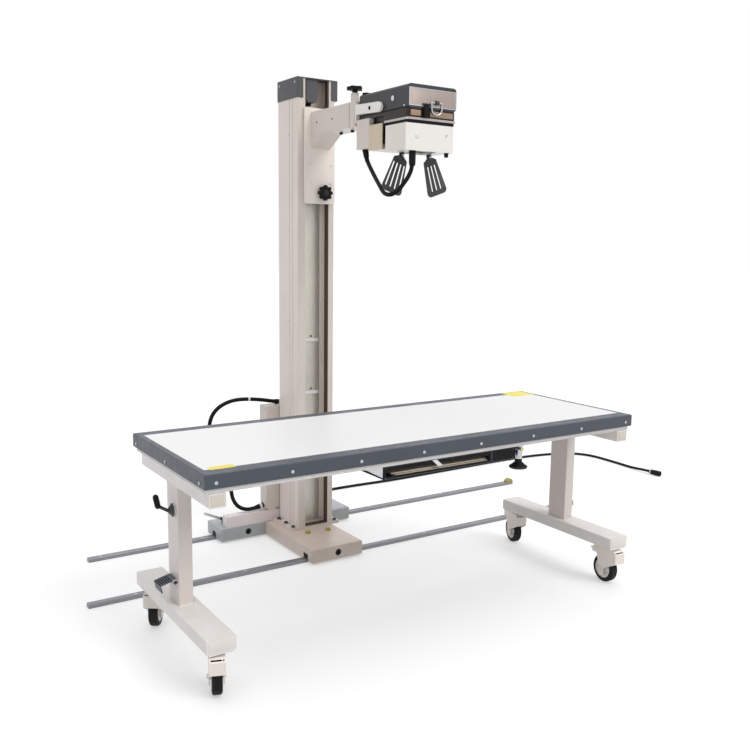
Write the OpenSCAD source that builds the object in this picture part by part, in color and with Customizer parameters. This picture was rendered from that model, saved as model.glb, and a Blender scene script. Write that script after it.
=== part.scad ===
// Radiography table on casters with a floor-rail tube stand.
// Lengths are in millimetres, angles in degrees. X runs along the table, Y from the
// front edge towards the column, Z up from the floor. The modules are written about the
// middle of the table top, and placed() moves them to the middle of the whole base.

/* [Table top] */
// Length of the table top
table_len = 2000; // [1900:10:2100]
// Width of the table top
table_w = 716; // [690:2:740]
// Height of the table top above the floor
table_h = 780; // [770:1:800]
// Height of the edge frame
edge_h = 50; // [46:1:54]
// Thickness of the patient panel
panel_t = 12; // [10:1:14]

/* [Legs and casters] */
// Inset of each leg from the table's end
leg_inset = 48; // [40:2:70]
// Length of a base beam
beam_len = 712; // [700:2:724]
// Height of a whole caster
caster_h = 175; // [174:1:180]
// Radius of a table wheel
wheel_r = 62.5; // [61:0.5:64]
// Angle of the front left caster
swivel_front_left = 20; // [0:1:45]
// Angle of the rear left caster
swivel_rear_left = 33; // [0:1:45]
// Angle of the front right caster
swivel_front_right = 5; // [0:1:45]
// Angle of the rear right caster
swivel_rear_right = 17; // [0:1:45]
// Hand lever below the cross beam
lever_drop = 91; // [80:1:110]
// Pedal's pin above the base beam
pedal_rise = 86; // [74:2:100]

/* [Image tray] */
// Length of the tray
tray_len = 638; // [620:2:656]
// Depth of the tray
tray_d = 540; // [520:5:560]
// Height of the tray
tray_h = 48; // [46:1:50]

/* [Floor rails] */
// Front rail from the table's middle
front_rail_y = 628; // [620:2:640]
// Rear rail from the table's middle
rear_rail_y = 1156; // [1146:2:1166]
// Width of a rail
rail_w = 31; // [29:1:33]
// Height of a rail
rail_h = 18; // [16:1:19]
// Right end of both rails
rail_right = 1690; // [1670:5:1710]
// Radius of a floor screw's hole
rail_hole_r = 4; // [3:0.5:4.5]

/* [Trolley] */
// Left end of the rear bar
bar_left = 345; // [335:1:350]
// Right end of the rear bar
bar_right = 410; // [400:1:415]
// Top of the trolley
trolley_top = 75; // [74:1:78]
// Radius of a trolley wheel's tread
roller_r = 22; // [21:0.5:22.5]
// Radius of the front sockets
socket_r = 12; // [11:0.5:13]

/* [Column] */
// Width of the column
column_w = 200; // [196:1:204]
// Depth of the column
column_d = 203; // [199:1:207]
// Top of the column's profile
column_top = 2280; // [2260:5:2300]
// Wall of the column's profile
column_wall = 5; // [4:0.5:6]
// Depth of the slot
slot_d = 70; // [68:1:74]
// Radius of the pulley's groove
pulley_r = 36; // [34:0.5:38]
// Height of the counterweight
weight_h = 746; // [700:2:790]

/* [Carriage and arm] */
// Width of the carriage plate
plate_w = 162; // [158:1:166]
// Width of the arm
arm_w = 104; // [100:1:108]
// Height of the arm
arm_h = 108; // [104:1:112]
// Carriage plate's underside below the column's top
plate_drop = 580; // [560:5:620]

/* [Tube head] */
// Width of the head
head_w = 244; // [242:1:246]
// Depth of the head
head_d = 368; // [364:1:369]
// Height of the head's case
case_h = 94; // [92:1:96]
// Height of the dark band
band_h = 37; // [35:1:39]
// Radius of the swivel pin
swivel_r = 18; // [16:1:20]
// Length of a flap
flap_len = 147; // [143:1:151]
// Lean of the flaps in degrees
flap_lean = 19; // [17:1:21]

/* [Control box and cables] */
// Width of the control box
ctrl_w = 350; // [340:2:360]
// Height of the control box
ctrl_h = 540; // [530:2:550]
// Diameter of the service loop
loop_dia = 20; // [18:1:20]

/* [Hidden] */
$fn = 40;

cream = [0.86, 0.83, 0.79];
white = [0.95, 0.95, 0.95];
dark_grey = [0.3, 0.33, 0.36];
black = [0.08, 0.08, 0.09];
zinc = [0.68, 0.7, 0.71];
beige = [0.8, 0.74, 0.62];
yellow = [0.72, 0.66, 0.25];
bronze = [0.5, 0.4, 0.33];

// Smaller sizes: walls, gaps, screws, trims and places within the pieces above
sub_h = 17;
sub_w = 72;
edge_screw_r = 6;
beam_w = 106;
cross_w = 60;
cross_h = 50;
cross_len = 664;
hood_len = 149;
hood_ahead = 62;
lever_reach = 58;
pedal_w = 64;
pedal_reach = 64;
tray_x = 12;
tray_setback = 15;
window_len = 489;
clamp_rim_r = 37;
rail_sink_r = 8;
stop_len = 48;
stem_left = 98;
stem_right = 179;
bar_front = 1062;
trolley_clear = 9;
socket_depth = 18;
front_socket_x = 44;
rear_wheel_reach = 240;
cap_r = 13;
column_left = 17;
column_front = 856;
flange_left_w = 41;
flange_right_w = 30;
base_t = 12;
base_over = 41;
cap_tall = 94;
liner_w = 109;
weight_w = 160;
weight_d = 88;
weight_z = 150;
plate_t = 16;
arm_left = 45;
arm_front = 446;
gusset_h = 59;
head_left = 60;
head_front = 63;
lip_h = 9;
mount_h = 14;
neck_d = 20;
side_d = 101;
flap_reach = 70;
flap_half_top = 33;
flap_half_end = 54;
bail_h = 56;
latch_w = 28;
latch_h = 56;
ctrl_left = 92;
ctrl_bottom = 144;
duct_left = 313;
duct_d = 55;
duct_h = 56;
connector_len = 90;
edge_wall = 4;
edge_chamfer = 3;
mitre_line = 0.8;
panel_gap = 0.4;
ledge_w = 10;
sub_setback = 10;
rib_w = 20;
edge_screw_h = 2.5;
edge_shank_r = 2.5;
edge_screw_drop = 30;
end_screw_drop = 35;
edge_screw_inset = 40;
cross_shift = 18;
beam_shift = 8;
tube_wall = 3;
tube_r = 4;
tyre_shoulder = 8;
wheel_disc_r = 44;
axle_r = 5.5;
fork_wall = 4;
caster_plate = 92;
caster_plate_t = 4;
race_r = 25;
race_h = 8;
king_r = 8;
brake_len = 36;
brake_w = 30;
lever_hub_r = 25;
lever_hub_len = 22;
lever_rod_r = 6;
lever_grip_len = 44;
lever_grip_r = 10;
pedal_lip = 30;
pedal_t = 4;
tray_gap = 2;
tray_wall = 6;
guide_w = 30;
guide_wall = 2.5;
guide_slot = 12;
guide_spread = 180;
slider_gap = 0.5;
bracket_len = 77;
sheet_t = 3;
clamp_post_r = 15;
clamp_h = 39;
clamp_screw_r = 6;
rail_chamfer = 2;
rail_hole_inset = 60;
stop_h = 20;
trolley_wall = 6;
trolley_chamfer = 4;
flange_h = 5;
flange_t = 4;
roller_axle_r = 8;
cap_h = 12;
lock_r = 7;
lock_rise = 24;
column_r = 4;
groove_w = 6;
groove_d = 1.5;
groove_a = 50;
groove_b = 80;
base_bolt_r = 10;
base_bolt_h = 8;
cap_over = 3;
cap_over_right = 17;
cap_wall = 4;
liner_t = 3;
strip_w = 24;
strip_t = 8;
pulley_rim = 5;
pulley_w = 26;
pulley_axle_r = 7;
block_w = 60;
block_h = 108;
shoe_gap = 0.4;
plate_inset = 30;
plate_gap = 3;
carriage_gap = 0.5;
guide_d = 50;
lobe_knob_h = 26;
lobe_knob_rise = 52;
gusset_len = 104;
arm_wall = 4;
star_block_h = 40;
small_knob_r = 20;
case_r = 14;
yoke_t = 8;
tine_t = 12;
tine_h = 42;
tine_gap = 3;
tine_len = 198;
tine_slope = 2.5;
box_over = 12;
box_wall = 3;
side_rise = 15;
rear_rise = 28;
flap_r = 18;
flap_t = 4;
flap_slot_w = 8;
bail_bar = 8;
latch_t = 9;
ctrl_gap = 6;
duct_wall = 3;
arm_rise = 318;
head_rise = 450;
rear_rail_left = 985;
post_d = 106;
box_h = 107;
wheel_w = 36;
box_d = 146;
ctrl_d = 72;
edge_end_w = 24;
beam_h = 51;
plate_h = 445;
edge_side_w = 60;
trolley_back = 1240;
window_h = 20;
lock_len = 112;
star_r = 36;
lobe_knob_r = 37;
hose_dia = 18;
cable_dia = 17;
connector_dia = 36;
wheel_trail = 26;
fork_w = 54;
caster_reach = 312;
bail_w = 60;
trolley_front = 560;
post_w = 52;
front_rail_left = 1127;
flap_hinge_drop = 12;
flap_setback = 97;
star_inset = 39;
star_shift = 25;
clamp_inset = 19;
lobe_knob_shift = 101;
block_shift = 9;
pulley_drop = 48;
guide_play = 6;
lock_inset = 55;
lock_height = 20;
tine_rise = 31;
tine_pin_inset = 264;
bail_shift = 140;
bail_rise = 27;
latch_shift = 88;
latch_rise = 16;
rear_band_rise = 22;
yoke_clear = 2;
button_inset = 109;
button_r = 13;
strip_inset = 2;
liner_inset = 4;
box_front_step = 3;
mouth_left_w = 12;
mouth_right_w = 11;
band_wall = 8;

// Overrun of every cut, and gaps shared by many pieces
over = 1;
run_gap = 0.05;
side_gap = 0.5;
seat_gap = 0.3;

// Places worked out from the driving sizes
edge_bottom = table_h - edge_h;
sub_bottom = edge_bottom - sub_h;
panel_bottom = table_h - panel_t;
cross_bottom = sub_bottom - cross_h;
beam_top = caster_h + beam_h;
leg_x = table_len / 2 - leg_inset;
lever_z = cross_bottom - lever_drop;
pedal_z = beam_top + pedal_rise;
plate_bottom = column_top - plate_drop;
arm_bottom = plate_bottom + arm_rise;
head_top = plate_bottom + head_rise;
object_mid_x = (rail_right - front_rail_left) / 2;
hood_fronts = [for (a = [swivel_front_left, swivel_front_right])
  hood_ahead * cos(a) + fork_w / 2 * sin(a)];
object_mid_y = (trolley_back - beam_shift - caster_reach - max(hood_fronts)) / 2;
column_mid_x = column_w / 2 - column_left;
column_back = column_front + column_d;
base_top = trolley_top + base_t;
slot_left_x = flange_left_w - column_left;
slot_right_x = column_w - column_left - flange_right_w;
slot_back_y = column_front + slot_d;
chamber_front = slot_back_y + column_wall;
chamber_back = column_back - column_wall;
plate_left_x = plate_inset - column_left;
plate_back = column_front - plate_gap;
plate_front = plate_back - plate_t;
arm_mid_x = arm_left + arm_w / 2;
arm_mid_z = arm_bottom + arm_h / 2;
arm_top = arm_bottom + arm_h;
head_mid_x = head_left + head_w / 2;
head_back = head_front + head_d;
case_bottom = head_top - case_h;
band_bottom = case_bottom - band_h;
lip_bottom = band_bottom - lip_h;
box_top = lip_bottom - mount_h;
box_bottom = box_top - box_h;
box_left_x = head_left - box_over;
box_mid_x = box_left_x + head_w / 2;
box_back = head_front + box_d;
neck_back = box_back + neck_d;
side_back = neck_back + side_d;
ctrl_front = column_back + ctrl_gap;
ctrl_back = ctrl_front + ctrl_d;

// Routes of the cables, from the table's middle on the floor
loop_route = [[0, 1108, 695], [-40, 1108, 701], [-91, 1109, 712], [-158, 1110, 721],
  [-214, 1110, 725], [-268, 1110, 720], [-320, 1110, 701], [-356, 1110, 671],
  [-376, 1110, 634], [-382, 1110, 590], [-374, 1110, 530], [-352, 1110, 460],
  [-322, 1110, 385], [-290, 1110, 315], [-268, 1110, 256], [-264, 1109, 222],
  [-252, 1107, 190], [-230, 1104, 163], [-196, 1100, 146], [-156, 1098, 144],
  [-116, 1096, 152]];
hose_route = [[74, 396, 1900], [73, 386, 1872], [67, 352, 1840], [58, 310, 1808],
  [49, 270, 1778], [40, 230, 1752], [33, 194, 1724], [30, 160, 1713], [36, 134, 1713],
  [50, 113, 1726], [68, 101, 1754], [90, 92, 1788], [102, 87, 1822], [102, 87, 1858]];
plug_z = connector_dia / 2;
cable_route = [[180, 1161, 200], [180, 1200, 200], [180, 1240, 190], [180, 1276, 168],
  [181, 1306, 138], [184, 1332, 104], [189, 1356, 70], [198, 1382, 38], [212, 1414, 15],
  [234, 1450, 9], [268, 1494, 9], [314, 1534, 9], [380, 1570, 9], [460, 1592, 9],
  [560, 1601, 9], [700, 1604, 9], [850, 1600, 9], [1005, 1591, 9], [1180, 1592, 9],
  [1360, 1599, 9], [1544, 1605, 9], [1730, 1611, 9], [1910, 1617, 9], [2080, 1619, 9],
  [2220, 1616, 9], [2350, 1601, 9], [2460, 1578, 9], [2550, 1546, 9], [2620, 1500, 9],
  [2664, 1440, 9], [2682, 1370, 9], [2685, 1290, 9], [2681, 1200, 9], [2675, 1110, 9],
  [2668, 1030, 9], [2662, 960, 13], [2660, 905, plug_z], [2662, 860, plug_z]];

function unit(v) = v / norm(v);
function heading(path, i) = unit(path[min(i + 1, len(path) - 1)] - path[max(i - 1, 0)]);
function ring_side(path, i, ref) = unit(cross(heading(path, i), ref));
function ring_up(path, i, ref) = cross(ring_side(path, i, ref), heading(path, i));
function ring(path, i, r, n, ref) = [for (k = [0 : n - 1])
  path[i] + r * cos(360 * k / n) * ring_side(path, i, ref)
  + r * sin(360 * k / n) * ring_up(path, i, ref)];

// Moves a module from the table's middle to the middle of the whole base
module placed() {
  translate([-object_mid_x, -object_mid_y, 0]) children();
}

// A block between two opposite corners
module span(low, high) {
  translate(low) cube(high - low);
}

// A rectangle with round corners, about its middle
module round_rect(w, d, r) {
  square([w - 2 * r, d], center = true);
  square([w, d - 2 * r], center = true);
  for (sx = [-1, 1], sy = [-1, 1]) translate([sx * (w / 2 - r), sy * (d / 2 - r)]) circle(r);
}

// An upright block with round corners, between two opposite corners
module round_span(low, high, r) {
  size = high - low;
  translate([low.x + size.x / 2, low.y + size.y / 2, low.z])
    linear_extrude(size.z) round_rect(size.x, size.y, r);
}

// A round bar between two heights, or along Y from the front to the back
module post(x, y, low, high, r) {
  translate([x, y, low]) cylinder(h = high - low, r = r);
}
module bar_y(x, z, front, back, r) {
  translate([x, back, z]) rotate([90, 0, 0]) cylinder(h = back - front, r = r);
}
module bar_x(y, z, left, right, r) {
  translate([left, y, z]) rotate([0, 90, 0]) cylinder(h = right - left, r = r);
}

// Cuts a 45 degree chamfer along the upper edges of an outline
module chamfer_edges(points, top, c) {
  count = len(points);
  for (i = [0 : count - 1]) {
    along = points[(i + 1) % count] - points[i];
    translate([points[i].x, points[i].y, top]) rotate([0, 0, atan2(along.y, along.x)])
      rotate([45, 0, 0]) translate([0, -c * sqrt(2) / 2, -c * sqrt(2) / 2])
        cube([norm(along), c * sqrt(2), c * sqrt(2)]);
  }
}

// A tube swept along a route, as one closed solid
module swept(path, r, sides, ref) {
  count = len(path);
  rings = [for (i = [0 : count - 1]) each ring(path, i, r, sides, ref)];
  ends = [[for (k = [sides - 1 : -1 : 0]) k], [for (k = [0 : sides - 1]) (count - 1) * sides + k]];
  walls = [for (i = [0 : count - 2], k = [0 : sides - 1])
    let (a = i * sides + k, b = i * sides + (k + 1) % sides)
    each [[a, b, b + sides], [a, b + sides, a + sides]]];
  polyhedron(points = rings, faces = concat(ends, walls));
}

// A cylinder that starts at a point and runs along a direction
module along(start, direction, length, r) {
  translate(start) rotate([0, acos(unit(direction).z), atan2(direction.y, direction.x)])
    cylinder(h = length, r = r);
}

// Closed steel tubes: one along Y, one upright
module tube_y(w, h, length) {
  translate([0, length / 2, h / 2]) rotate([90, 0, 0]) tube_z(w, h, length);
}
module tube_z(w, d, height) {
  difference() {
    linear_extrude(height) round_rect(w, d, tube_r);
    translate([0, 0, tube_wall]) linear_extrude(height - 2 * tube_wall)
      square([w - 2 * tube_wall, d - 2 * tube_wall], center = true);
  }
}

// Table top
opening_x = table_len / 2 - edge_end_w;
opening_y = table_w / 2 - edge_side_w;
edge_screw_count = 8;
end_screw_count = 3;
edge_screw_pitch = (table_len - 2 * edge_screw_inset) / (edge_screw_count - 1);
end_screw_pitch = (table_w / 2 - edge_screw_inset) * 2 / (end_screw_count - 1);

module top_panel() {
  color(white) placed()
    round_span([-opening_x + panel_gap, -opening_y + panel_gap, panel_bottom],
      [opening_x - panel_gap, opening_y - panel_gap, table_h], edge_chamfer);
}

module edge_frame() {
  outline = [[-table_len / 2, -table_w / 2], [table_len / 2, -table_w / 2],
    [table_len / 2, table_w / 2], [-table_len / 2, table_w / 2]];
  mitre_angle = atan2(edge_side_w, edge_end_w);
  mitre_len = norm([edge_side_w, edge_end_w]);
  color(dark_grey) placed() difference() {
    span([-table_len / 2, -table_w / 2, edge_bottom], [table_len / 2, table_w / 2, table_h]);
    span([-opening_x, -opening_y, panel_bottom], [opening_x, opening_y, table_h + over]);
    span([-opening_x, -opening_y, edge_bottom - over],
      [opening_x, opening_y, panel_bottom - edge_wall]);
    span([-opening_x + ledge_w, -opening_y + ledge_w, edge_bottom],
      [opening_x - ledge_w, opening_y - ledge_w, table_h]);
    profile_hollow();
    chamfer_edges(outline, table_h, edge_chamfer);
    for (sx = [-1, 1], sy = [-1, 1]) scale([sx, sy, 1])
      translate([table_len / 2, table_w / 2, table_h - mitre_line])
        rotate([0, 0, 180 + mitre_angle]) translate([0, -mitre_line / 2, 0])
          cube([mitre_len, mitre_line, mitre_line + over]);
    at_edge_screws() translate([0, 0, -edge_wall - over])
      cylinder(h = edge_wall + 2 * over, r = edge_shank_r);
  }
}

// Hollow inside the edge profile, open below
module profile_hollow() {
  difference() {
    span([-table_len / 2 + edge_wall, -table_w / 2 + edge_wall, edge_bottom - over],
      [table_len / 2 - edge_wall, table_w / 2 - edge_wall, table_h - edge_wall]);
    span([-opening_x - edge_wall, -opening_y - edge_wall, edge_bottom - 2 * over],
      [opening_x + edge_wall, opening_y + edge_wall, table_h]);
  }
}

// Carries a shape to each screw of the edge, its axis pointing outwards along Z
module at_edge_screws() {
  for (side = [0, 180], i = [0 : edge_screw_count - 1]) rotate([0, 0, side])
    translate([(i - (edge_screw_count - 1) / 2) * edge_screw_pitch, -table_w / 2,
      table_h - edge_screw_drop]) rotate([90, 0, 0]) children();
  for (side = [0, 180], i = [0 : end_screw_count - 1]) rotate([0, 0, side])
    translate([-table_len / 2, (i - (end_screw_count - 1) / 2) * end_screw_pitch,
      table_h - end_screw_drop]) rotate([0, -90, 0]) children();
}

module edge_screws() {
  socket_r_share = 0.4;
  color(zinc) placed() at_edge_screws() {
    difference() {
      cylinder(h = edge_screw_h, r = edge_screw_r);
      translate([0, 0, edge_screw_h / 2])
        cylinder(h = edge_screw_h, r = edge_screw_r * socket_r_share, $fn = 6);
    }
    translate([0, 0, -2 * edge_wall]) cylinder(h = 2 * edge_wall, r = edge_shank_r);
  }
}

module subframe() {
  half_x = table_len / 2 - sub_setback;
  half_y = table_w / 2 - sub_setback;
  inner_x = half_x - sub_w + tube_wall;
  inner_y = half_y - sub_w + tube_wall;
  rib_half = opening_y - ledge_w - panel_gap;
  rib_shares = [-0.84, -0.42, 0, 0.42, 0.84];
  color(cream) placed() {
    difference() {
      round_span([-half_x, -half_y, sub_bottom], [half_x, half_y, edge_bottom], tube_r);
      span([-half_x + sub_w, -half_y + sub_w, sub_bottom - over],
        [half_x - sub_w, half_y - sub_w, edge_bottom + over]);
      difference() {
        span([-half_x + tube_wall, -half_y + tube_wall, sub_bottom + tube_wall],
          [half_x - tube_wall, half_y - tube_wall, edge_bottom - tube_wall]);
        span([-inner_x, -inner_y, sub_bottom], [inner_x, inner_y, edge_bottom]);
      }
    }
    for (share = rib_shares) {
      x = share * (half_x - sub_w);
      span([x - rib_w / 2, -rib_half, edge_bottom], [x + rib_w / 2, rib_half, panel_bottom]);
    }
  }
}

// Legs, with the casters' top plates, races and king pins
hood_web = 5;
hood_top = caster_h - caster_plate_t - race_h - seat_gap;
king_boss_h = 14;
king_nut_r = 13;
king_nut_h = 6;
plate_bolt_r = 5;
plate_bolt_h = 4;

module caster_head() {
  plate_low = caster_h - caster_plate_t;
  bolt_reach = caster_plate / 2 - 2 * plate_bolt_r;
  nut_top = hood_top - king_boss_h - seat_gap;
  round_span([-caster_plate / 2, -caster_plate / 2, plate_low],
    [caster_plate / 2, caster_plate / 2, caster_h], tube_r);
  post(0, 0, plate_low - race_h, plate_low, race_r);
  post(0, 0, nut_top - king_nut_h, plate_low, king_r);
  translate([0, 0, nut_top - king_nut_h]) cylinder(h = king_nut_h, r = king_nut_r, $fn = 6);
  for (sx = [-1, 1], sy = [-1, 1]) translate([sx * bolt_reach, sy * bolt_reach, plate_low - plate_bolt_h])
    cylinder(h = plate_bolt_h, r = plate_bolt_r, $fn = 6);
}

module leg(side) {
  translate([side * leg_x, 0, 0]) {
    translate([0, -beam_shift, caster_h]) tube_y(beam_w, beam_h, beam_len);
    translate([0, 0, beam_top]) tube_z(post_w, post_d, cross_bottom - beam_top);
    translate([0, -cross_shift, cross_bottom]) tube_y(cross_w, cross_h, cross_len);
    for (end = [-1, 1]) translate([0, -beam_shift + end * caster_reach, 0]) caster_head();
  }
}

// Controls on the outer face of the left post
post_face = -leg_x - post_w / 2;
lever_y = -15;
lever_pin_r = 8;
pedal_pin_r = 4;
pedal_barrel_r = 9;
pedal_lug_t = 5;
pedal_y = -1;
pedal_axis_x = post_face - pedal_barrel_r - seat_gap;

module leg_left() {
  color(cream) placed() {
    difference() {
      leg(-1);
      bar_x(lever_y, lever_z, post_face - over, post_face + tube_wall + over,
        lever_pin_r + run_gap);
    }
    for (side = [-1, 1]) {
      mid = pedal_y + side * (pedal_w / 2 + side_gap + pedal_lug_t / 2);
      span([pedal_axis_x, mid - pedal_lug_t / 2, pedal_z - pedal_barrel_r],
        [post_face + over, mid + pedal_lug_t / 2, pedal_z + pedal_barrel_r]);
      bar_y(pedal_axis_x, pedal_z, mid - pedal_lug_t / 2, mid + pedal_lug_t / 2,
        pedal_barrel_r);
    }
    bar_y(pedal_axis_x, pedal_z, pedal_y - pedal_w / 2 - side_gap - pedal_lug_t,
      pedal_y + pedal_w / 2 + side_gap + pedal_lug_t, pedal_pin_r);
  }
}

module leg_right() {
  color(cream) placed() leg(1);
}

module hand_lever() {
  hub_face = post_face - seat_gap;
  neck_x = hub_face - lever_hub_len;
  grip_x = post_face - lever_reach;
  grip_z = lever_z + lever_rise;
  color(black) placed() {
    translate([hub_face, lever_y, lever_z]) rotate([0, -90, 0]) rotate_extrude()
      polygon([[0, 0], [lever_hub_r, 0], [lever_hub_r, lever_hub_len / 4],
        [lever_rod_r, lever_hub_len], [0, lever_hub_len]]);
    bar_x(lever_y, lever_z, hub_face - over, post_face + 2 * tube_wall + over, lever_pin_r);
    along([neck_x + over, lever_y, lever_z], [grip_x - neck_x, 0, grip_z - lever_z],
      norm([grip_x - neck_x - over, grip_z - lever_z]), lever_rod_r);
    translate([grip_x, lever_y, grip_z]) rotate([0, -lever_grip_lean, 0]) {
      sphere(lever_grip_r);
      cylinder(h = lever_grip_len - lever_grip_r, r = lever_grip_r);
      translate([0, 0, lever_grip_len - lever_grip_r]) sphere(lever_grip_r);
    }
  }
}
lever_rise = 22;
lever_grip_lean = 12;

module brake_pedal() {
  tip_x = post_face - pedal_reach;
  slope = 14;
  color(dark_grey) placed() difference() {
    union() {
      bar_y(pedal_axis_x, pedal_z, pedal_y - pedal_w / 2, pedal_y + pedal_w / 2,
        pedal_barrel_r);
      translate([pedal_axis_x, pedal_y, pedal_z]) rotate([0, -slope, 0]) {
        span([tip_x - pedal_axis_x, -pedal_w / 2, pedal_barrel_r - pedal_t],
          [0, pedal_w / 2, pedal_barrel_r]);
        span([tip_x - pedal_axis_x, -pedal_w / 2, pedal_barrel_r - pedal_lip],
          [tip_x - pedal_axis_x + pedal_t, pedal_w / 2, pedal_barrel_r]);
      }
    }
    bar_y(pedal_axis_x, pedal_z, pedal_y - pedal_w / 2 - over, pedal_y + pedal_w / 2 + over,
      pedal_pin_r + run_gap);
  }
}

// Casters. Each is written with its stem at the origin and its trail along X.
pocket_w = fork_w - 2 * fork_wall;
hood_back = hood_len - hood_ahead;
hood_corner = 13;
leg_half = 16;
brake_pin_r = 3;
brake_barrel_r = 7;
brake_pin_x = hood_back - hood_corner;
brake_pin_z = hood_top - hood_corner - hood_web;
axle_head_r = 9;
axle_head_h = 3;
hub_boss_r = 12;

caster_turns = [[-1, -1, swivel_front_left], [-1, 1, swivel_rear_left], [1, -1, swivel_front_right],
  [1, 1, swivel_rear_right]];
module at_caster(i) {
  turn = caster_turns[i];
  placed() translate([turn.x * leg_x, turn.y * caster_reach - beam_shift, 0])
    rotate([0, 0, 90 - turn.z]) children();
}

module cheek_outline() {
  front_share = 0.65;
  back_share = 0.79;
  knee_share = 0.42;
  polygon([[-hood_ahead, front_share * hood_top], [-hood_ahead, hood_top - hood_corner],
    [hood_corner - hood_ahead, hood_top], [hood_back - hood_corner, hood_top],
    [hood_back, hood_top - hood_corner], [hood_back, back_share * hood_top],
    [wheel_trail + 2 * leg_half, back_share * hood_top],
    [wheel_trail + leg_half, knee_share * hood_top],
    [wheel_trail + leg_half, wheel_r - leg_half],
    [wheel_trail - leg_half, wheel_r - leg_half],
    [wheel_trail - leg_half, knee_share * hood_top]]);
  translate([wheel_trail, wheel_r - leg_half]) circle(leg_half);
}

module fork() {
  boss_w = (pocket_w - wheel_w) / 2 - side_gap;
  difference() {
    union() {
      difference() {
        rotate([90, 0, 0]) linear_extrude(fork_w, center = true) cheek_outline();
        span([-hood_ahead + fork_wall, -pocket_w / 2, -over],
          [hood_back + over, pocket_w / 2, hood_top - hood_web]);
      }
      post(0, 0, hood_top - king_boss_h, hood_top - over, king_nut_r + fork_wall);
    }
    post(0, 0, hood_top - king_boss_h - over, hood_top + over, king_r + run_gap);
  }
  bar_y(wheel_trail, wheel_r, -fork_w / 2 - axle_head_h, fork_w / 2 + axle_head_h, axle_r);
  for (side = [-1, 1]) {
    mid = side * (fork_w + axle_head_h) / 2;
    bar_y(wheel_trail, wheel_r, mid - axle_head_h / 2, mid + axle_head_h / 2, axle_head_r);
    inner = side * (pocket_w - boss_w) / 2;
    bar_y(wheel_trail, wheel_r, inner - boss_w / 2, inner + boss_w / 2, hub_boss_r);
  }
  bar_y(brake_pin_x, brake_pin_z, -fork_w / 2, fork_w / 2, brake_pin_r);
}

module wheel() {
  recess = 5;
  rib_count = 5;
  translate([wheel_trail, 0, wheel_r]) rotate([90, 0, 0]) difference() {
    rotate_extrude($fn = 64) {
      translate([wheel_disc_r, -wheel_w / 2])
        square([wheel_r - tyre_shoulder - wheel_disc_r, wheel_w]);
      translate([wheel_disc_r, tyre_shoulder - wheel_w / 2])
        square([wheel_r - wheel_disc_r, wheel_w - 2 * tyre_shoulder]);
      for (end = [-1, 1])
        translate([wheel_r - tyre_shoulder, end * (wheel_w / 2 - tyre_shoulder)])
          circle(tyre_shoulder);
      translate([axle_r + run_gap, recess - wheel_w / 2])
        square([wheel_disc_r - axle_r - run_gap, wheel_w - 2 * recess]);
      translate([axle_r + run_gap, -wheel_w / 2])
        square([hub_boss_r - axle_r - run_gap, wheel_w]);
    }
    for (i = [0 : rib_count - 1]) rotate([0, 0, 360 * i / rib_count])
      translate([(wheel_disc_r + hub_boss_r) / 2, 0, -wheel_w])
        cylinder(h = 2 * wheel_w, r = (wheel_disc_r - hub_boss_r) / 4);
  }
}

module brake() {
  barrel_w = pocket_w - 2 * side_gap;
  slope = 18;
  translate([brake_pin_x, 0, brake_pin_z]) difference() {
    union() {
      bar_y(0, 0, -barrel_w / 2, barrel_w / 2, brake_barrel_r);
      rotate([0, slope, 0]) {
        span([0, -brake_w / 2, brake_barrel_r - fork_wall],
          [brake_len, brake_w / 2, brake_barrel_r]);
        span([brake_len - fork_wall, -brake_w / 2, brake_barrel_r - 2 * fork_wall],
          [brake_len, brake_w / 2, brake_barrel_r]);
      }
    }
    bar_y(0, 0, -pocket_w, pocket_w, brake_pin_r + run_gap);
  }
}

module fork_front_left() { color(cream) at_caster(0) fork(); }
module fork_rear_left() { color(cream) at_caster(1) fork(); }
module fork_front_right() { color(cream) at_caster(2) fork(); }
module fork_rear_right() { color(cream) at_caster(3) fork(); }
module wheel_front_left() { color(black) at_caster(0) wheel(); }
module wheel_rear_left() { color(black) at_caster(1) wheel(); }
module wheel_front_right() { color(black) at_caster(2) wheel(); }
module wheel_rear_right() { color(black) at_caster(3) wheel(); }
module brake_front_left() { color(dark_grey) at_caster(0) brake(); }
module brake_front_right() { color(dark_grey) at_caster(2) brake(); }

// Image tray, which slides along two channels under the panel
tray_front = tray_setback - table_w / 2;
tray_back = tray_front + tray_d;
tray_top = sub_bottom - tray_gap;
tray_bottom = tray_top - tray_h;
tray_left = tray_x - tray_len / 2;
tray_right = tray_x + tray_len / 2;
tray_mid_y = (tray_front + tray_back) / 2;
window_left = tray_left + 2 * tray_wall;
window_right = window_left + window_len;
window_bottom = tray_bottom + 1.5 * tray_wall;
slider_len = 60;
slider_reach = tray_len / 2 - slider_len;
clamp_x = tray_right + clamp_rim_r;
clamp_y = tray_front + clamp_post_r + tray_wall;
clamp_post_h = 56;

module slide_rails() {
  half_len = table_len / 2 - sub_setback - sub_w;
  color(zinc) placed() for (end = [-1, 1])
    translate([0, tray_mid_y + end * guide_spread, 0]) difference() {
      span([-half_len, -guide_w / 2, sub_bottom], [half_len, guide_w / 2, edge_bottom]);
      span([-half_len - over, guide_wall - guide_w / 2, sub_bottom + guide_wall],
        [half_len + over, guide_w / 2 - guide_wall, edge_bottom - guide_wall]);
      span([-half_len - over, -guide_slot / 2, sub_bottom - over],
        [half_len + over, guide_slot / 2, edge_bottom - guide_wall]);
    }
}

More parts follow.
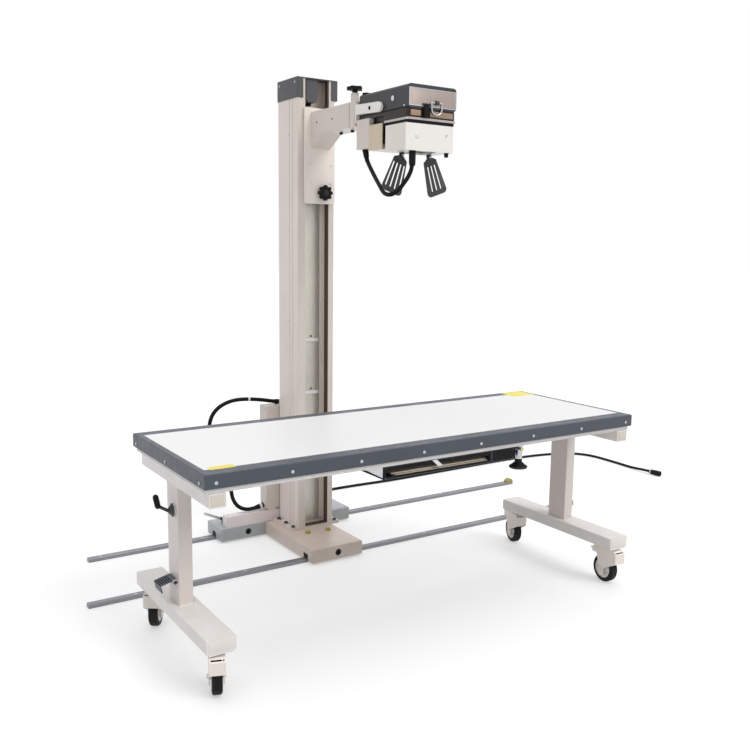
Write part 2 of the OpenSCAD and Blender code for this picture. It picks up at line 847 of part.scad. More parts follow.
module tray_frame() {
  color(black) placed() {
    difference() {
      span([tray_left, tray_front, tray_bottom], [tray_right, tray_back, tray_top]);
      span([window_left, tray_front - over, window_bottom],
        [window_right, tray_front + 2 * tray_wall, window_bottom + window_h]);
      for (ends = [[window_left, window_right], [window_right + tray_wall, tray_right - tray_wall]])
        span([ends[0], tray_front + tray_wall, tray_bottom + tray_wall / 2],
          [ends[1], tray_back - tray_wall, tray_top - tray_wall / 2]);
    }
    for (end = [-1, 1], side = [-1, 1])
      translate([tray_x + side * slider_reach, tray_mid_y + end * guide_spread, 0]) slider();
  }
}

// A tee that hangs the tray in a slide rail
module slider() {
  head_half = guide_w / 2 - guide_wall - slider_gap;
  neck_half = guide_slot / 2 - slider_gap;
  span([-slider_len / 2, -neck_half, tray_top - over],
    [slider_len / 2, neck_half, sub_bottom + 2 * guide_wall]);
  span([-slider_len / 2, -head_half, sub_bottom + guide_wall + run_gap],
    [slider_len / 2, head_half, edge_bottom - guide_wall - slider_gap]);
}

module tray_slats() {
  slat_count = 4;
  slat_t = (window_h + tray_wall) / slat_count;
  slat_step = 14;
  slat_w = 60;
  color(beige) placed() for (i = [0 : slat_count - 1]) {
    y = tray_front + tray_wall + i * slat_step;
    z = tray_bottom + tray_wall / 2 + i * slat_t;
    span([window_left + (slat_count - i) * 2 * tray_wall, y, z],
      [window_right, y + slat_w, z + slat_t]);
  }
}

module tray_brackets() {
  gusset_drop_share = 0.88;
  bracket_d = 100;
  bolt_r = 7;
  bolt_h = 12;
  color(zinc) placed() {
    translate([0, tray_front + tray_wall, 0]) rotate([90, 0, 0]) linear_extrude(sheet_t)
      polygon([[tray_left, tray_top], [tray_left - bracket_len, tray_top],
        [tray_left, tray_top - gusset_drop_share * tray_h]]);
    span([tray_left - bracket_len, tray_front + tray_wall - sheet_t, tray_top - sheet_t],
      [tray_left, tray_front + bracket_d, tray_top]);
    difference() {
      union() {
        span([tray_right, clamp_y - clamp_post_r, tray_top - sheet_t],
          [clamp_x + clamp_post_r, clamp_y + clamp_post_r, tray_top]);
        post(clamp_x, clamp_y, tray_top - clamp_post_h, tray_top - over, clamp_post_r);
      }
      post(clamp_x, clamp_y, tray_top - clamp_post_h - over, tray_top + over,
        clamp_screw_r + run_gap);
    }
    bar_y(clamp_x - clamp_post_r, tray_top - sheet_t - bolt_r, tray_front - bolt_h,
      clamp_y, bolt_r);
  }
}

module tray_knob() {
  top = tray_top - clamp_post_h - seat_gap;
  rim = 2;
  rim_h = 6;
  neck_h = 14;
  color(black) placed() translate([clamp_x, clamp_y, top - clamp_h]) {
    rotate_extrude() polygon([[0, 0], [clamp_rim_r - rim, 0], [clamp_rim_r, rim],
      [clamp_rim_r, rim_h], [clamp_post_r, clamp_h - neck_h],
      [clamp_post_r, clamp_h], [0, clamp_h]]);
    cylinder(h = clamp_h + clamp_post_h / 2, r = clamp_screw_r);
  }
}

// Floor rails with countersunk floor screws' holes
rail_hole_count = 6;
rail_hole_pitch = (rail_right + rear_rail_left - 2 * rail_hole_inset) / (rail_hole_count - 1);

module rail(left, y) {
  difference() {
    span([-left, y - rail_w / 2, 0], [rail_right, y + rail_w / 2, rail_h]);
    chamfer_edges([[-left, y - rail_w / 2], [rail_right, y - rail_w / 2],
      [rail_right, y + rail_w / 2], [-left, y + rail_w / 2]], rail_h, rail_chamfer);
    for (i = [0 : rail_hole_count - 1])
      translate([rail_right - rail_hole_inset - i * rail_hole_pitch, y, 0]) {
        post(0, 0, -over, rail_h + over, rail_hole_r);
        translate([0, 0, rail_h - rail_sink_r + rail_hole_r])
          cylinder(h = rail_sink_r - rail_hole_r, r1 = rail_hole_r, r2 = rail_sink_r);
      }
  }
}

module floor_rails() {
  color(zinc) placed() {
    rail(front_rail_left, front_rail_y);
    rail(rear_rail_left, rear_rail_y);
  }
}

module rail_stops() {
  slope_share = 0.45;
  color(yellow) placed() for (y = [front_rail_y, rear_rail_y])
    translate([rail_right - stop_len, y + rail_w / 2, rail_h]) rotate([90, 0, 0])
      linear_extrude(rail_w) polygon([[0, 0], [stop_len, 0], [stop_len, stop_h / 2],
        [(1 - slope_share) * stop_len, stop_h], [slope_share * stop_len, stop_h],
        [0, stop_h / 3]]);
}

// Trolley, a hollow casing that runs over the rails on three flanged wheels
tread_half = rail_w / 2 + 2 * seat_gap;
roller_half = tread_half + flange_t;
roller_z = rail_h + roller_r + run_gap;
slot_half = roller_half + 2 * side_gap;
slot_top = roller_z + side_gap;
roller_left_x = front_socket_x - rear_wheel_reach;
roller_right_x = front_socket_x + rear_wheel_reach;
bearing_t = 8;
bearing_half = 20;
wiper_t = 10;
trolley_outline = [[-stem_left, trolley_front], [stem_right, trolley_front],
  [stem_right, bar_front], [bar_right, bar_front], [bar_right, trolley_back],
  [-bar_left, trolley_back], [-bar_left, bar_front], [-stem_left, bar_front]];

module trolley_bearings(x, y) {
  for (side = [-1, 1]) {
    mid = y + side * (roller_half + side_gap + bearing_t / 2);
    span([x - bearing_half, mid - bearing_t / 2, trolley_clear],
      [x + bearing_half, mid + bearing_t / 2, trolley_top - over]);
  }
  bar_y(x, roller_z, y - roller_half - side_gap - bearing_t,
    y + roller_half + side_gap + bearing_t, roller_axle_r);
}

module trolley_slot(left, right, y) {
  span([left - over, y - slot_half, trolley_clear - over],
    [right + over, y + slot_half, slot_top]);
}

lock_x = -bar_left + lock_inset;
lock_y = (bar_front + trolley_back) / 2;
lock_z = trolley_top + lock_height;
lock_pin_r = 5;
lock_hub_r = 12;
lock_half = 9;
lock_lug_t = 6;

module trolley_frame() {
  bearing_back = front_rail_y - roller_half - side_gap;
  rib_t = 6;
  color(cream) placed() {
    difference() {
      union() {
        difference() {
          translate([0, 0, trolley_clear]) linear_extrude(trolley_top - trolley_clear)
            polygon(trolley_outline);
          span([trolley_wall - stem_left, trolley_front + trolley_wall, trolley_clear - over],
            [stem_right - trolley_wall, trolley_back - trolley_wall, trolley_top - trolley_wall]);
          span([trolley_wall - bar_left, bar_front + trolley_wall, trolley_clear - over],
            [bar_right - trolley_wall, trolley_back - trolley_wall, trolley_top - trolley_wall]);
        }
        bar_y(front_socket_x, roller_z, trolley_front, bearing_back - bearing_t / 2,
          socket_r + trolley_wall);
        bar_y(roller_left_x, roller_z, bar_front, bar_front + socket_depth + trolley_wall,
          socket_r + trolley_wall);
        for (x = [-column_left, stem_right - 4 * trolley_wall])
          span([x - rib_t / 2, front_rail_y + 2 * slot_half, trolley_clear],
            [x + rib_t / 2, rear_rail_y - 2 * slot_half, trolley_top - over]);
      }
      chamfer_edges(trolley_outline, trolley_top, trolley_chamfer);
      trolley_slot(-stem_left, stem_right, front_rail_y);
      trolley_slot(-bar_left, bar_right, rear_rail_y);
      bar_y(front_socket_x, roller_z, trolley_front - over, trolley_front + socket_depth, socket_r);
      bar_y(roller_left_x, roller_z, bar_front - over, bar_front + socket_depth, socket_r);
    }
    trolley_bearings(front_socket_x, front_rail_y);
    trolley_bearings(roller_left_x, rear_rail_y);
    trolley_bearings(roller_right_x, rear_rail_y);
    for (side = [-1, 1]) {
      mid = lock_y + side * (lock_half + side_gap + lock_lug_t / 2);
      span([lock_x - lock_hub_r, mid - lock_lug_t / 2, trolley_top - over],
        [lock_x + lock_hub_r, mid + lock_lug_t / 2, lock_z]);
      bar_y(lock_x, lock_z, mid - lock_lug_t / 2, mid + lock_lug_t / 2, lock_hub_r);
    }
    bar_y(lock_x, lock_z, lock_y - lock_half - lock_lug_t, lock_y + lock_half + lock_lug_t,
      lock_pin_r);
  }
}

module rail_wipers() {
  clear = rail_w / 2 + seat_gap;
  color(black) placed() for (place = [[-stem_left, front_rail_y], [stem_right - wiper_t, front_rail_y],
      [-bar_left, rear_rail_y], [bar_right - wiper_t, rear_rail_y]])
    translate([place.x, place.y, 0]) difference() {
      span([0, -slot_half, trolley_clear], [wiper_t, slot_half, slot_top]);
      span([-over, -clear, trolley_clear - over], [wiper_t + over, clear, rail_h + seat_gap]);
    }
}

module roller(x, y) {
  translate([x, y, roller_z]) rotate([90, 0, 0]) rotate_extrude() {
    translate([roller_axle_r + run_gap, -roller_half])
      square([roller_r - roller_axle_r - run_gap, 2 * roller_half]);
    for (low = [-roller_half, tread_half]) translate([roller_r - over, low])
      square([flange_h + over, flange_t]);
  }
}

module roller_front() { color(zinc) placed() roller(front_socket_x, front_rail_y); }
module roller_rear_left() { color(zinc) placed() roller(roller_left_x, rear_rail_y); }
module roller_rear_right() { color(zinc) placed() roller(roller_right_x, rear_rail_y); }

module trolley_lever() {
  color(zinc) placed() translate([lock_x, lock_y, lock_z]) difference() {
    union() {
      bar_y(0, 0, -lock_half, lock_half, lock_hub_r);
      rotate([0, lock_rise, 0]) translate([-lock_len, 0, 0]) {
        sphere(lock_r);
        rotate([0, 90, 0]) cylinder(h = lock_len, r = lock_r);
      }
    }
    bar_y(0, 0, -lock_half - over, lock_half + over, lock_pin_r + run_gap);
  }
}

module trolley_caps() {
  rim = 2;
  cap_shares = [[0.015, 0.325], [0.56, 0.384]];
  color(yellow) placed() for (share = cap_shares)
    translate([share.x * column_w, column_front - share.y * column_d, trolley_top]) rotate_extrude()
      polygon([[0, 0], [cap_r, 0], [cap_r, cap_h - rim], [cap_r - rim, cap_h], [0, cap_h]]);
}

// Cable duct and control box behind the column
box_foot_w = 40;
ctrl_right = ctrl_w - ctrl_left;

module cable_duct() {
  right = ctrl_right - 2 * box_foot_w;
  front = bar_front + duct_wall;
  color(cream) placed() difference() {
    round_span([-duct_left, front, trolley_top], [right, front + duct_d, trolley_top + duct_h], duct_wall);
    span([duct_wall - duct_left, front + duct_wall, trolley_top - over],
      [right - duct_wall, front + duct_d - duct_wall, trolley_top + duct_h - duct_wall]);
  }
}

loop_r = loop_dia / 2;
gland_wall = 4;
gland_len = 36;
cable_r = cable_dia / 2;

module control_box() {
  seam = 2;
  seam_inset = 14;
  pad_w = 60;
  pad_h = 24;
  casing_t = 6;
  loop_end = len(loop_route) - 1;
  loop_out = loop_route[1] - loop_route[0];
  loop_in = loop_route[loop_end - 1] - loop_route[loop_end];
  cable_out = cable_route[1] - cable_route[0];
  color(cream) placed() {
    difference() {
      round_span([-ctrl_left, ctrl_front, ctrl_bottom],
        [ctrl_right, ctrl_back, ctrl_bottom + ctrl_h], tube_r);
      translate([(ctrl_right - ctrl_left) / 2, ctrl_back - seam, ctrl_bottom + ctrl_h / 2])
        rotate([-90, 0, 0]) linear_extrude(2 * seam) difference() {
          square([ctrl_w - 2 * seam_inset, ctrl_h - 2 * seam_inset], center = true);
          square([ctrl_w - 2 * seam_inset - 2 * seam, ctrl_h - 2 * seam_inset - 2 * seam], center = true);
        }
      span([casing_t - ctrl_left, ctrl_front + casing_t, ctrl_bottom + casing_t],
        [ctrl_right - casing_t, ctrl_back - casing_t, ctrl_bottom + ctrl_h - casing_t]);
    }
    for (z = [ctrl_bottom + ctrl_h / 4, ctrl_bottom + 3 * ctrl_h / 4])
      span([column_mid_x - pad_w / 2, column_back, z - pad_h / 2],
        [column_mid_x + pad_w / 2, ctrl_front + over, z + pad_h / 2]);
    for (x = [seam_inset - ctrl_left, ctrl_right - 2 * box_foot_w - seam_inset - box_foot_w])
      span([x, ctrl_front, trolley_top + duct_h], [x + box_foot_w, bar_front + duct_d, ctrl_bottom + over]);
    along(loop_route[0], -loop_out, gland_len, loop_r + gland_wall);
    along(loop_route[loop_end], -loop_in, gland_len, loop_r + gland_wall);
    along(cable_route[0], -cable_out, gland_len, cable_r + gland_wall);
  }
}

module service_loop() { color(black) placed() swept(loop_route, loop_r, 12, [0, 1, 0]); }
module supply_cable() { color(black) placed() swept(cable_route, cable_r, 8, [0, 0, 1]); }
module head_hose() { color(black) placed() swept(hose_route, hose_dia / 2, 10, [1, 0, 0]); }

module cable_plug() {
  last = len(cable_route) - 1;
  direction = cable_route[last] - cable_route[last - 1];
  r = connector_dia / 2;
  groove = 2;
  color(black) placed() translate(cable_route[last])
    rotate([0, acos(unit(direction).z), atan2(direction.y, direction.x)]) difference() {
      rotate_extrude() polygon([[0, 0], [cable_r + groove, 0], [r - groove, connector_len / 4],
        [r - groove, connector_len / 2], [r, connector_len / 2 + groove],
        [r, connector_len - groove], [r - groove, connector_len], [0, connector_len]]);
      translate([0, 0, connector_len - connector_len / 4]) difference() {
        cylinder(h = connector_len, r = r - 2 * groove);
        cylinder(h = connector_len / 4 - groove, r = r / 2);
      }
    }
}

// Column
base_bolt_count = 3;
cap_top = column_top + cap_wall;
cap_bottom = cap_top - cap_tall;
block_left_x = slot_left_x + block_shift;
block_mid_x = block_left_x + block_w / 2;
pulley_y = slot_back_y + column_wall / 2;
pulley_z = column_top - pulley_drop;
block_wall = 6;

module column_base() {
  low_x = -column_left - base_over;
  high_x = column_w - column_left + base_over;
  washer_t = 2;
  first = 15;
  pitch = 78;
  color(cream) placed() {
    round_span([low_x, column_front - tube_r, trolley_top],
      [high_x, column_back + tube_r / 2, base_top], base_bolt_r);
    for (x = [low_x + base_over / 2, high_x - base_over / 2], i = [0 : base_bolt_count - 1])
      translate([x, column_front + first + i * pitch, base_top]) {
        cylinder(h = washer_t, r = base_bolt_r + washer_t);
        cylinder(h = washer_t + base_bolt_h, r = base_bolt_r, $fn = 6);
      }
  }
}

// Section of the column's profile, seen from above
module column_section() {
  difference() {
    translate([column_mid_x, (column_front + column_back) / 2])
      round_rect(column_w, column_d, column_r);
    translate([column_wall - column_left, column_front + column_wall])
      square([column_w - 2 * column_wall, column_d - 2 * column_wall]);
    translate([slot_left_x, column_front - over])
      square([slot_right_x - slot_left_x, column_wall + 2 * over]);
    for (y = [groove_a, groove_b])
      translate([-column_left - over, column_front + y])
        square([groove_d + over, groove_w]);
  }
  for (x = [slot_left_x - column_wall, slot_right_x])
    translate([x, column_front + column_wall / 2])
      square([column_wall, slot_d + column_wall / 2]);
  translate([slot_left_x - column_wall, slot_back_y])
    square([slot_right_x - slot_left_x + 2 * column_wall, column_wall]);
}

module column() {
  color(cream) placed() difference() {
    translate([0, 0, base_top]) linear_extrude(column_top - base_top) column_section();
    span([block_left_x - over, slot_back_y - over, column_top - block_h - block_wall],
      [block_left_x + block_w + over, chamber_front + over, column_top + over]);
  }
}

module column_cap() {
  mouth_left = slot_left_x - mouth_left_w;
  mouth_right = slot_right_x + mouth_right_w;
  color(dark_grey) placed() difference() {
    round_span([-column_left - cap_over, column_front - cap_over, cap_bottom],
      [column_w - column_left + cap_over_right, column_back + cap_over, cap_top], column_r);
    span([-column_left, column_front, cap_bottom - over],
      [column_w - column_left, column_back, column_top]);
    span([mouth_left, column_front - 2 * cap_over, cap_bottom - over],
      [mouth_right, column_front + over, column_top]);
  }
}

module column_liner() {
  left = slot_left_x + liner_inset;
  clip_w = 26;
  clip_h = 16;
  clip_t = 5;
  clip_shares = [0.302, 0.424];
  color(zinc) placed() {
    span([left, slot_back_y - liner_t, base_top + strip_t],
      [left + liner_w, slot_back_y, column_top - block_h - 2 * block_wall]);
    for (share = clip_shares) {
      z = base_top + share * (column_top - base_top);
      span([left + liner_w - clip_w - strip_t, slot_back_y - liner_t - clip_t, z],
        [left + liner_w - strip_t, slot_back_y - liner_t, z + clip_h]);
    }
  }
}

module slot_strip() {
  front = column_front + strip_inset;
  color(black) placed() {
    span([slot_right_x - strip_t, front, base_top], [slot_right_x, front + strip_w, column_top]);
    span([slot_left_x, front, base_top], [slot_right_x, front + strip_w, base_top + strip_t]);
  }
}

module pulley_block() {
  front = column_front + block_wall;
  back = pulley_y + pulley_r + pulley_rim;
  low = column_top - block_h;
  color(dark_grey) placed() {
    difference() {
      union() {
        span([block_left_x, front, low + block_w / 3], [block_left_x + block_w, back, column_top]);
        for (i = [1, 2])
          bar_y(block_left_x + i * block_w / 3, low + block_w / 3, front, back, block_w / 3);
      }
      span([block_mid_x - pulley_w / 2 - seat_gap, front + block_wall, low - over],
        [block_mid_x + pulley_w / 2 + seat_gap, back + over, column_top + over]);
    }
    bar_x(pulley_y, pulley_z, block_left_x, block_left_x + block_w, pulley_axle_r);
  }
}

module pulley() {
  half = pulley_w / 2;
  rim_t = 3;
  color(zinc) placed() translate([block_mid_x, pulley_y, pulley_z]) rotate([0, 90, 0])
    rotate_extrude() {
      translate([pulley_axle_r + run_gap, -half])
        square([pulley_r - pulley_axle_r - run_gap, pulley_w]);
      for (low = [-half, half - rim_t]) translate([pulley_r - over, low])
        square([pulley_rim + over - seat_gap, rim_t]);
    }
}

module counterweight() {
  mid_y = (chamber_front + chamber_back) / 2;
  shoe_h = 40;
  shoe_half = (column_w - 2 * column_wall) / 2 - shoe_gap;
  shoe_d = 30;
  eye_r = 12;
  eye_bar = 4;
  color(dark_grey) placed() translate([column_mid_x, mid_y, weight_z]) {
    linear_extrude(weight_h) round_rect(weight_w, weight_d, tube_r);
    for (z = [shoe_h, weight_h - 2 * shoe_h])
      span([-shoe_half, -shoe_d / 2, z], [shoe_half, shoe_d / 2, z + shoe_h]);
    translate([0, 0, weight_h + eye_r]) rotate([90, 0, 0]) rotate_extrude()
      translate([eye_r, 0]) circle(eye_bar);
  }
}

// Carriage and arm
guide_right_x = slot_right_x - strip_t - guide_play;
lobe_knob_x = plate_left_x + lobe_knob_shift;
lobe_knob_z = plate_bottom + lobe_knob_rise;
knob_screw_r = 6;
arm_end_t = 45;

module carriage() {
  screw_r = 6;
  screw_h = 3;
  screw_inset = 20;
  screw_shares = [[0.2, 0.07], [0.2, 0.22], [0.2, 0.415], [0.88, 0.07], [0.88, 0.22], [0.88, 0.41]];
  color(cream) placed() difference() {
    union() {
      translate([0, plate_back, 0]) rotate([90, 0, 0]) linear_extrude(plate_t)
        translate([plate_left_x + plate_w / 2, plate_bottom + plate_h / 2])
          round_rect(plate_w, plate_h, tube_r);
      difference() {
        span([slot_left_x + carriage_gap, plate_back - over, plate_bottom + 2 * screw_inset],
          [guide_right_x, column_front + guide_d, plate_bottom + plate_h - screw_inset]);
        span([slot_left_x + column_wall + side_gap, plate_back + 2 * tube_r,
          plate_bottom + screw_inset],
          [guide_right_x - column_wall, column_front + guide_d - column_wall,
            plate_bottom + plate_h]);
      }
      for (share = screw_shares)
        bar_y(plate_left_x + share.x * plate_w, plate_bottom + share.y * plate_h,
          plate_front - screw_h, plate_front + over, screw_r);
    }
    bar_y(lobe_knob_x, lobe_knob_z, plate_front - over, plate_back + 2 * tube_r,
      knob_screw_r + run_gap);
  }
}

module lobed(r, lobes, height) {
  lobe_share = 0.22;
  linear_extrude(height) {
    circle(r * (1 - lobe_share));
    for (i = [0 : lobes - 1]) rotate(360 * i / lobes)
      translate([r * (1 - lobe_share), 0]) circle(r * lobe_share);
  }
}

module carriage_knob() {
  neck_h = 8;
  face = plate_front - seat_gap;
  color(black) placed() {
    translate([lobe_knob_x, face - neck_h, lobe_knob_z]) rotate([90, 0, 0])
      lobed(lobe_knob_r, 8, lobe_knob_h - neck_h);
    bar_y(lobe_knob_x, lobe_knob_z, face - neck_h - over, face, lobe_knob_r / 2);
    bar_y(lobe_knob_x, lobe_knob_z, face - over, plate_back, knob_screw_r);
  }
}

star_y = arm_front + star_inset;
star_x = arm_left + star_shift;
star_block_w = 26;
star_screw_r = 6;
clamp2_x = arm_left + arm_w - clamp_inset;
clamp2_h = 34;

module arm() {
  bolt_r = 8;
  bolt_h = 11;
  hole_r = 5;
  length = plate_front - arm_front;
  bolt_shares = [0.26, 0.51];
  hole_shares = [0.14, 0.5];
  color(cream) placed() difference() {
    union() {
      difference() {
        translate([arm_mid_x, plate_front, arm_mid_z]) rotate([90, 0, 0])
          linear_extrude(length) round_rect(arm_w, arm_h, tube_r);
        span([arm_left + arm_wall, arm_front + arm_end_t, arm_bottom + arm_wall],
          [arm_left + arm_w - arm_wall, plate_front - arm_wall, arm_top - arm_wall]);
      }
      translate([arm_left, 0, 0]) rotate([90, 0, 90]) linear_extrude(arm_w)
        polygon([[plate_front, arm_bottom + tube_r], [plate_front - gusset_len, arm_bottom + tube_r],
          [plate_front - gusset_len, arm_bottom], [plate_front, arm_bottom - gusset_h]]);
      span([star_x - star_block_w / 2, star_y - star_block_w / 2, arm_top - over],
        [star_x + star_block_w / 2, star_y + star_block_w / 2, arm_top + star_block_h]);
      for (share = bolt_shares)
        post(arm_mid_x, arm_front + share * length, arm_bottom - bolt_h, arm_bottom + over, bolt_r);
    }
    bar_y(arm_mid_x, arm_mid_z, arm_front - over, arm_front + arm_end_t + over,
      swivel_r + run_gap);
    post(star_x, star_y, arm_top, arm_top + star_block_h + over, star_screw_r + run_gap);
    post(clamp2_x, star_y, arm_top - arm_wall - over, arm_top + over, star_screw_r + run_gap);
    for (share = hole_shares)
      bar_x(plate_front - share * length, arm_mid_z, arm_left - over, arm_left + arm_wall / 2, hole_r);
  }
}

module arm_knob() {
  neck_h = 12;
  star_t = 15;
  low = arm_top + star_block_h + seat_gap;
  color(black) placed() translate([star_x, star_y, low]) {
    translate([0, 0, neck_h]) lobed(star_r, 5, star_t);
    cylinder(h = neck_h + over, r = star_r / 3);
    translate([0, 0, -star_block_h / 2]) cylinder(h = star_block_h / 2 + over, r = star_screw_r);
  }
}

module arm_clamp() {
  cap_t = 12;
  low = arm_top + seat_gap;
  color(black) placed() translate([clamp2_x, star_y, low]) {
    translate([0, 0, clamp2_h]) lobed(small_knob_r, 6, cap_t);
    cylinder(h = clamp2_h + over, r = small_knob_r / 2);
    translate([0, 0, -arm_wall]) cylinder(h = arm_wall + over, r = star_screw_r);
  }
}

// Yoke, which turns in the arm's end and holds the head between two tines
yoke_back = arm_front - yoke_clear;
yoke_front = yoke_back - yoke_t;
tine_left_x = head_left - tine_gap - tine_t;
tine_right_x = head_left + head_w + tine_gap;
tine_root_z = case_bottom + tine_rise;
tine_pin_y = head_front + tine_pin_inset;
yoke_h = 84;

module tine(x) {
  hole_r = 7;
  reach = yoke_front - tine_pin_y;
  translate([x, yoke_front + over, tine_root_z]) rotate([tine_slope, 0, 0]) difference() {
    union() {
      span([0, tine_h / 2 - tine_len, -tine_h / 2], [tine_t, 0, tine_h / 2]);
      bar_x(tine_h / 2 - tine_len, 0, 0, tine_t, tine_h / 2);
    }
    bar_x(-reach, 0, -over, tine_t / 2, hole_r);
  }
}

module yoke() {
  pin_end = arm_front + arm_end_t;
  boss_r = 10;
  pin_z = tine_root_z - (yoke_front - tine_pin_y) * sin(tine_slope);
  color(cream) placed() {
    round_span([tine_left_x, yoke_front, arm_mid_z - yoke_h / 2],
      [tine_right_x + tine_t, yoke_back, arm_mid_z + yoke_h / 2], yoke_t / 4);
    bar_y(arm_mid_x, arm_mid_z, yoke_back - over, arm_front - seat_gap, swivel_r + tube_r);
    bar_y(arm_mid_x, arm_mid_z, yoke_back - over, pin_end, swivel_r);
    tine(tine_left_x);
    tine(tine_right_x);
    bar_x(tine_pin_y, pin_z, tine_left_x + tine_t - over, head_left, boss_r);
    bar_x(tine_pin_y, pin_z, head_left + head_w, tine_right_x + over, boss_r);
  }
}

// Head: case, band, latch and bail
rear_band_z = band_bottom + rear_band_rise;
bail_x = head_left + bail_shift;
bail_z = case_bottom + bail_rise;
bail_r = bail_bar / 2;
bail_y = head_front - bail_r - side_gap;
latch_x = head_left + latch_shift;
latch_z = case_bottom + latch_rise;
latch_barrel_r = 4.5;
latch_pin_r = 2;
latch_lug_t = 4;
latch_y = head_front - latch_barrel_r - side_gap;

module head_case() {
  panel_inset = 9;
  panel_drop = 14;
  groove = 2;
  button_y = head_front + button_inset;
  button_z = case_bottom + case_h / 2;
  bail_lug_half = 8;
  casing_t = 5;
  color(dark_grey) placed() difference() {
    union() {
      translate([head_mid_x, head_back, case_bottom + case_h / 2]) rotate([90, 0, 0])
        linear_extrude(head_d) round_rect(head_w, case_h, case_r);
      bar_x(button_y, button_z, head_left - groove, head_left + head_w + groove, button_r);
      span([bail_x - bail_lug_half, bail_y, bail_z - 2 * bail_r],
        [bail_x + bail_lug_half, head_front + over, bail_z + 2 * bail_r]);
      bar_x(bail_y, bail_z, bail_x - bail_lug_half, bail_x + bail_lug_half, 2 * bail_r);
      for (side = [-1, 1]) {
        mid = latch_x + side * (latch_w / 2 + side_gap / 2 + latch_lug_t / 2);
        span([mid - latch_lug_t / 2, latch_y, latch_z - latch_barrel_r],
          [mid + latch_lug_t / 2, head_front + over, latch_z + latch_barrel_r]);
        bar_x(latch_y, latch_z, mid - latch_lug_t / 2, mid + latch_lug_t / 2, latch_barrel_r);
      }
      bar_x(latch_y, latch_z, latch_x - latch_w / 2 - latch_lug_t,
        latch_x + latch_w / 2 + latch_lug_t, latch_pin_r);
    }
    span([head_left + casing_t, head_front + casing_t, case_bottom + casing_t],
      [head_left + head_w - casing_t, head_back - casing_t, head_top - casing_t - case_r]);
    translate([head_mid_x, head_front + groove, case_bottom + case_h / 2 - panel_drop / 4])
      rotate([90, 0, 0]) linear_extrude(groove + over) difference() {
        round_rect(head_w - 2 * panel_inset, case_h - 2 * panel_drop, panel_inset);
        round_rect(head_w - 2 * panel_inset - 2 * groove,
          case_h - 2 * panel_drop - 2 * groove, panel_inset - groove);
      }
    bar_x(bail_y, bail_z, bail_x - bail_lug_half - over, bail_x + bail_lug_half + over,
      bail_r + run_gap);
  }
}

module head_band() {
  step_y = head_front + head_d / 2;
  recess = 2;
  rim = 5;
  lip_over = 2;
  window_gap = 6;
  port_w = 200;
  latch_side = latch_w / 2 + latch_lug_t + rim;
  color(bronze) placed() difference() {
    union() {
      round_span([head_left, head_front + recess, band_bottom],
        [head_left + head_w, step_y, case_bottom], case_r);
      round_span([head_left, step_y - 2 * case_r, rear_band_z],
        [head_left + head_w, head_back, case_bottom], rim);
      round_span([head_left - lip_over, head_front - lip_over, lip_bottom],
        [head_left + head_w + lip_over, step_y, band_bottom], case_r);
      round_span([head_left + lip_over, head_front + lip_over, box_top],
        [head_left + head_w - lip_over, neck_back - side_gap, lip_bottom], case_r);
      span([box_mid_x - port_w / 2, box_back, box_bottom + 2 * neck_d],
        [box_mid_x + port_w / 2, side_back, rear_band_z]);
    }
    span([head_left + band_wall, head_front + recess + band_wall, box_top + rim],
      [head_left + head_w - band_wall, box_back - rim, case_bottom - rim]);
    span([box_mid_x - port_w / 2 + rim, box_back + rim, box_bottom + 2 * neck_d + rim],
      [box_mid_x + port_w / 2 - rim, side_back - rim, rear_band_z - rim]);
    for (window = [[head_left + case_r, latch_x - latch_side],
        [latch_x + latch_side, head_left + head_w - case_r]])
      span([window[0], head_front, band_bottom + window_gap],
        [window[1], head_front + 2 * recess, case_bottom - window_gap]);
  }
}

module head_latch() {
  half = latch_w / 2 - side_gap;
  front = latch_y - latch_barrel_r;
  low = latch_z - latch_h + latch_barrel_r;
  color(black) placed() difference() {
    union() {
      bar_x(latch_y, latch_z, latch_x - half, latch_x + half, latch_barrel_r);
      span([latch_x - half, front, low], [latch_x + half, front + latch_t / 2, latch_z]);
      span([latch_x - half, front - latch_t / 2, low], [latch_x + half, front + latch_t / 2, low + latch_t]);
    }
    bar_x(latch_y, latch_z, latch_x - latch_w, latch_x + latch_w, latch_pin_r + run_gap);
  }
}

module head_handle() {
  bend_r = bail_w / 2 - bail_r;
  leg_len = bail_h - bail_w / 2 - bail_r;
  color(dark_grey) placed() translate([bail_x, bail_y, bail_z]) {
    bar_x(0, 0, -bend_r, bend_r, bail_r);
    for (side = [-1, 1]) {
      translate([side * bend_r, 0, 0]) sphere(bail_r);
      post(side * bend_r, 0, -leg_len, 0, bail_r);
    }
    translate([0, 0, -leg_len]) rotate([90, 0, 0]) intersection() {
      rotate_extrude() translate([bend_r, 0]) circle(bail_r);
      span([-bail_w, -bail_w, -bail_w], [bail_w, 0, bail_w]);
    }
  }
}

// Collimator with its two positioning flaps
flap_z = box_bottom - flap_hinge_drop;
flap_y = head_front + flap_setback;
flap_pin_r = 3;
flap_barrel_r = 6;
flap_lug_t = 4;
flap_barrel_half = 6;
beam_window = 90;
hose_gland_r = hose_dia / 2 + gland_wall;

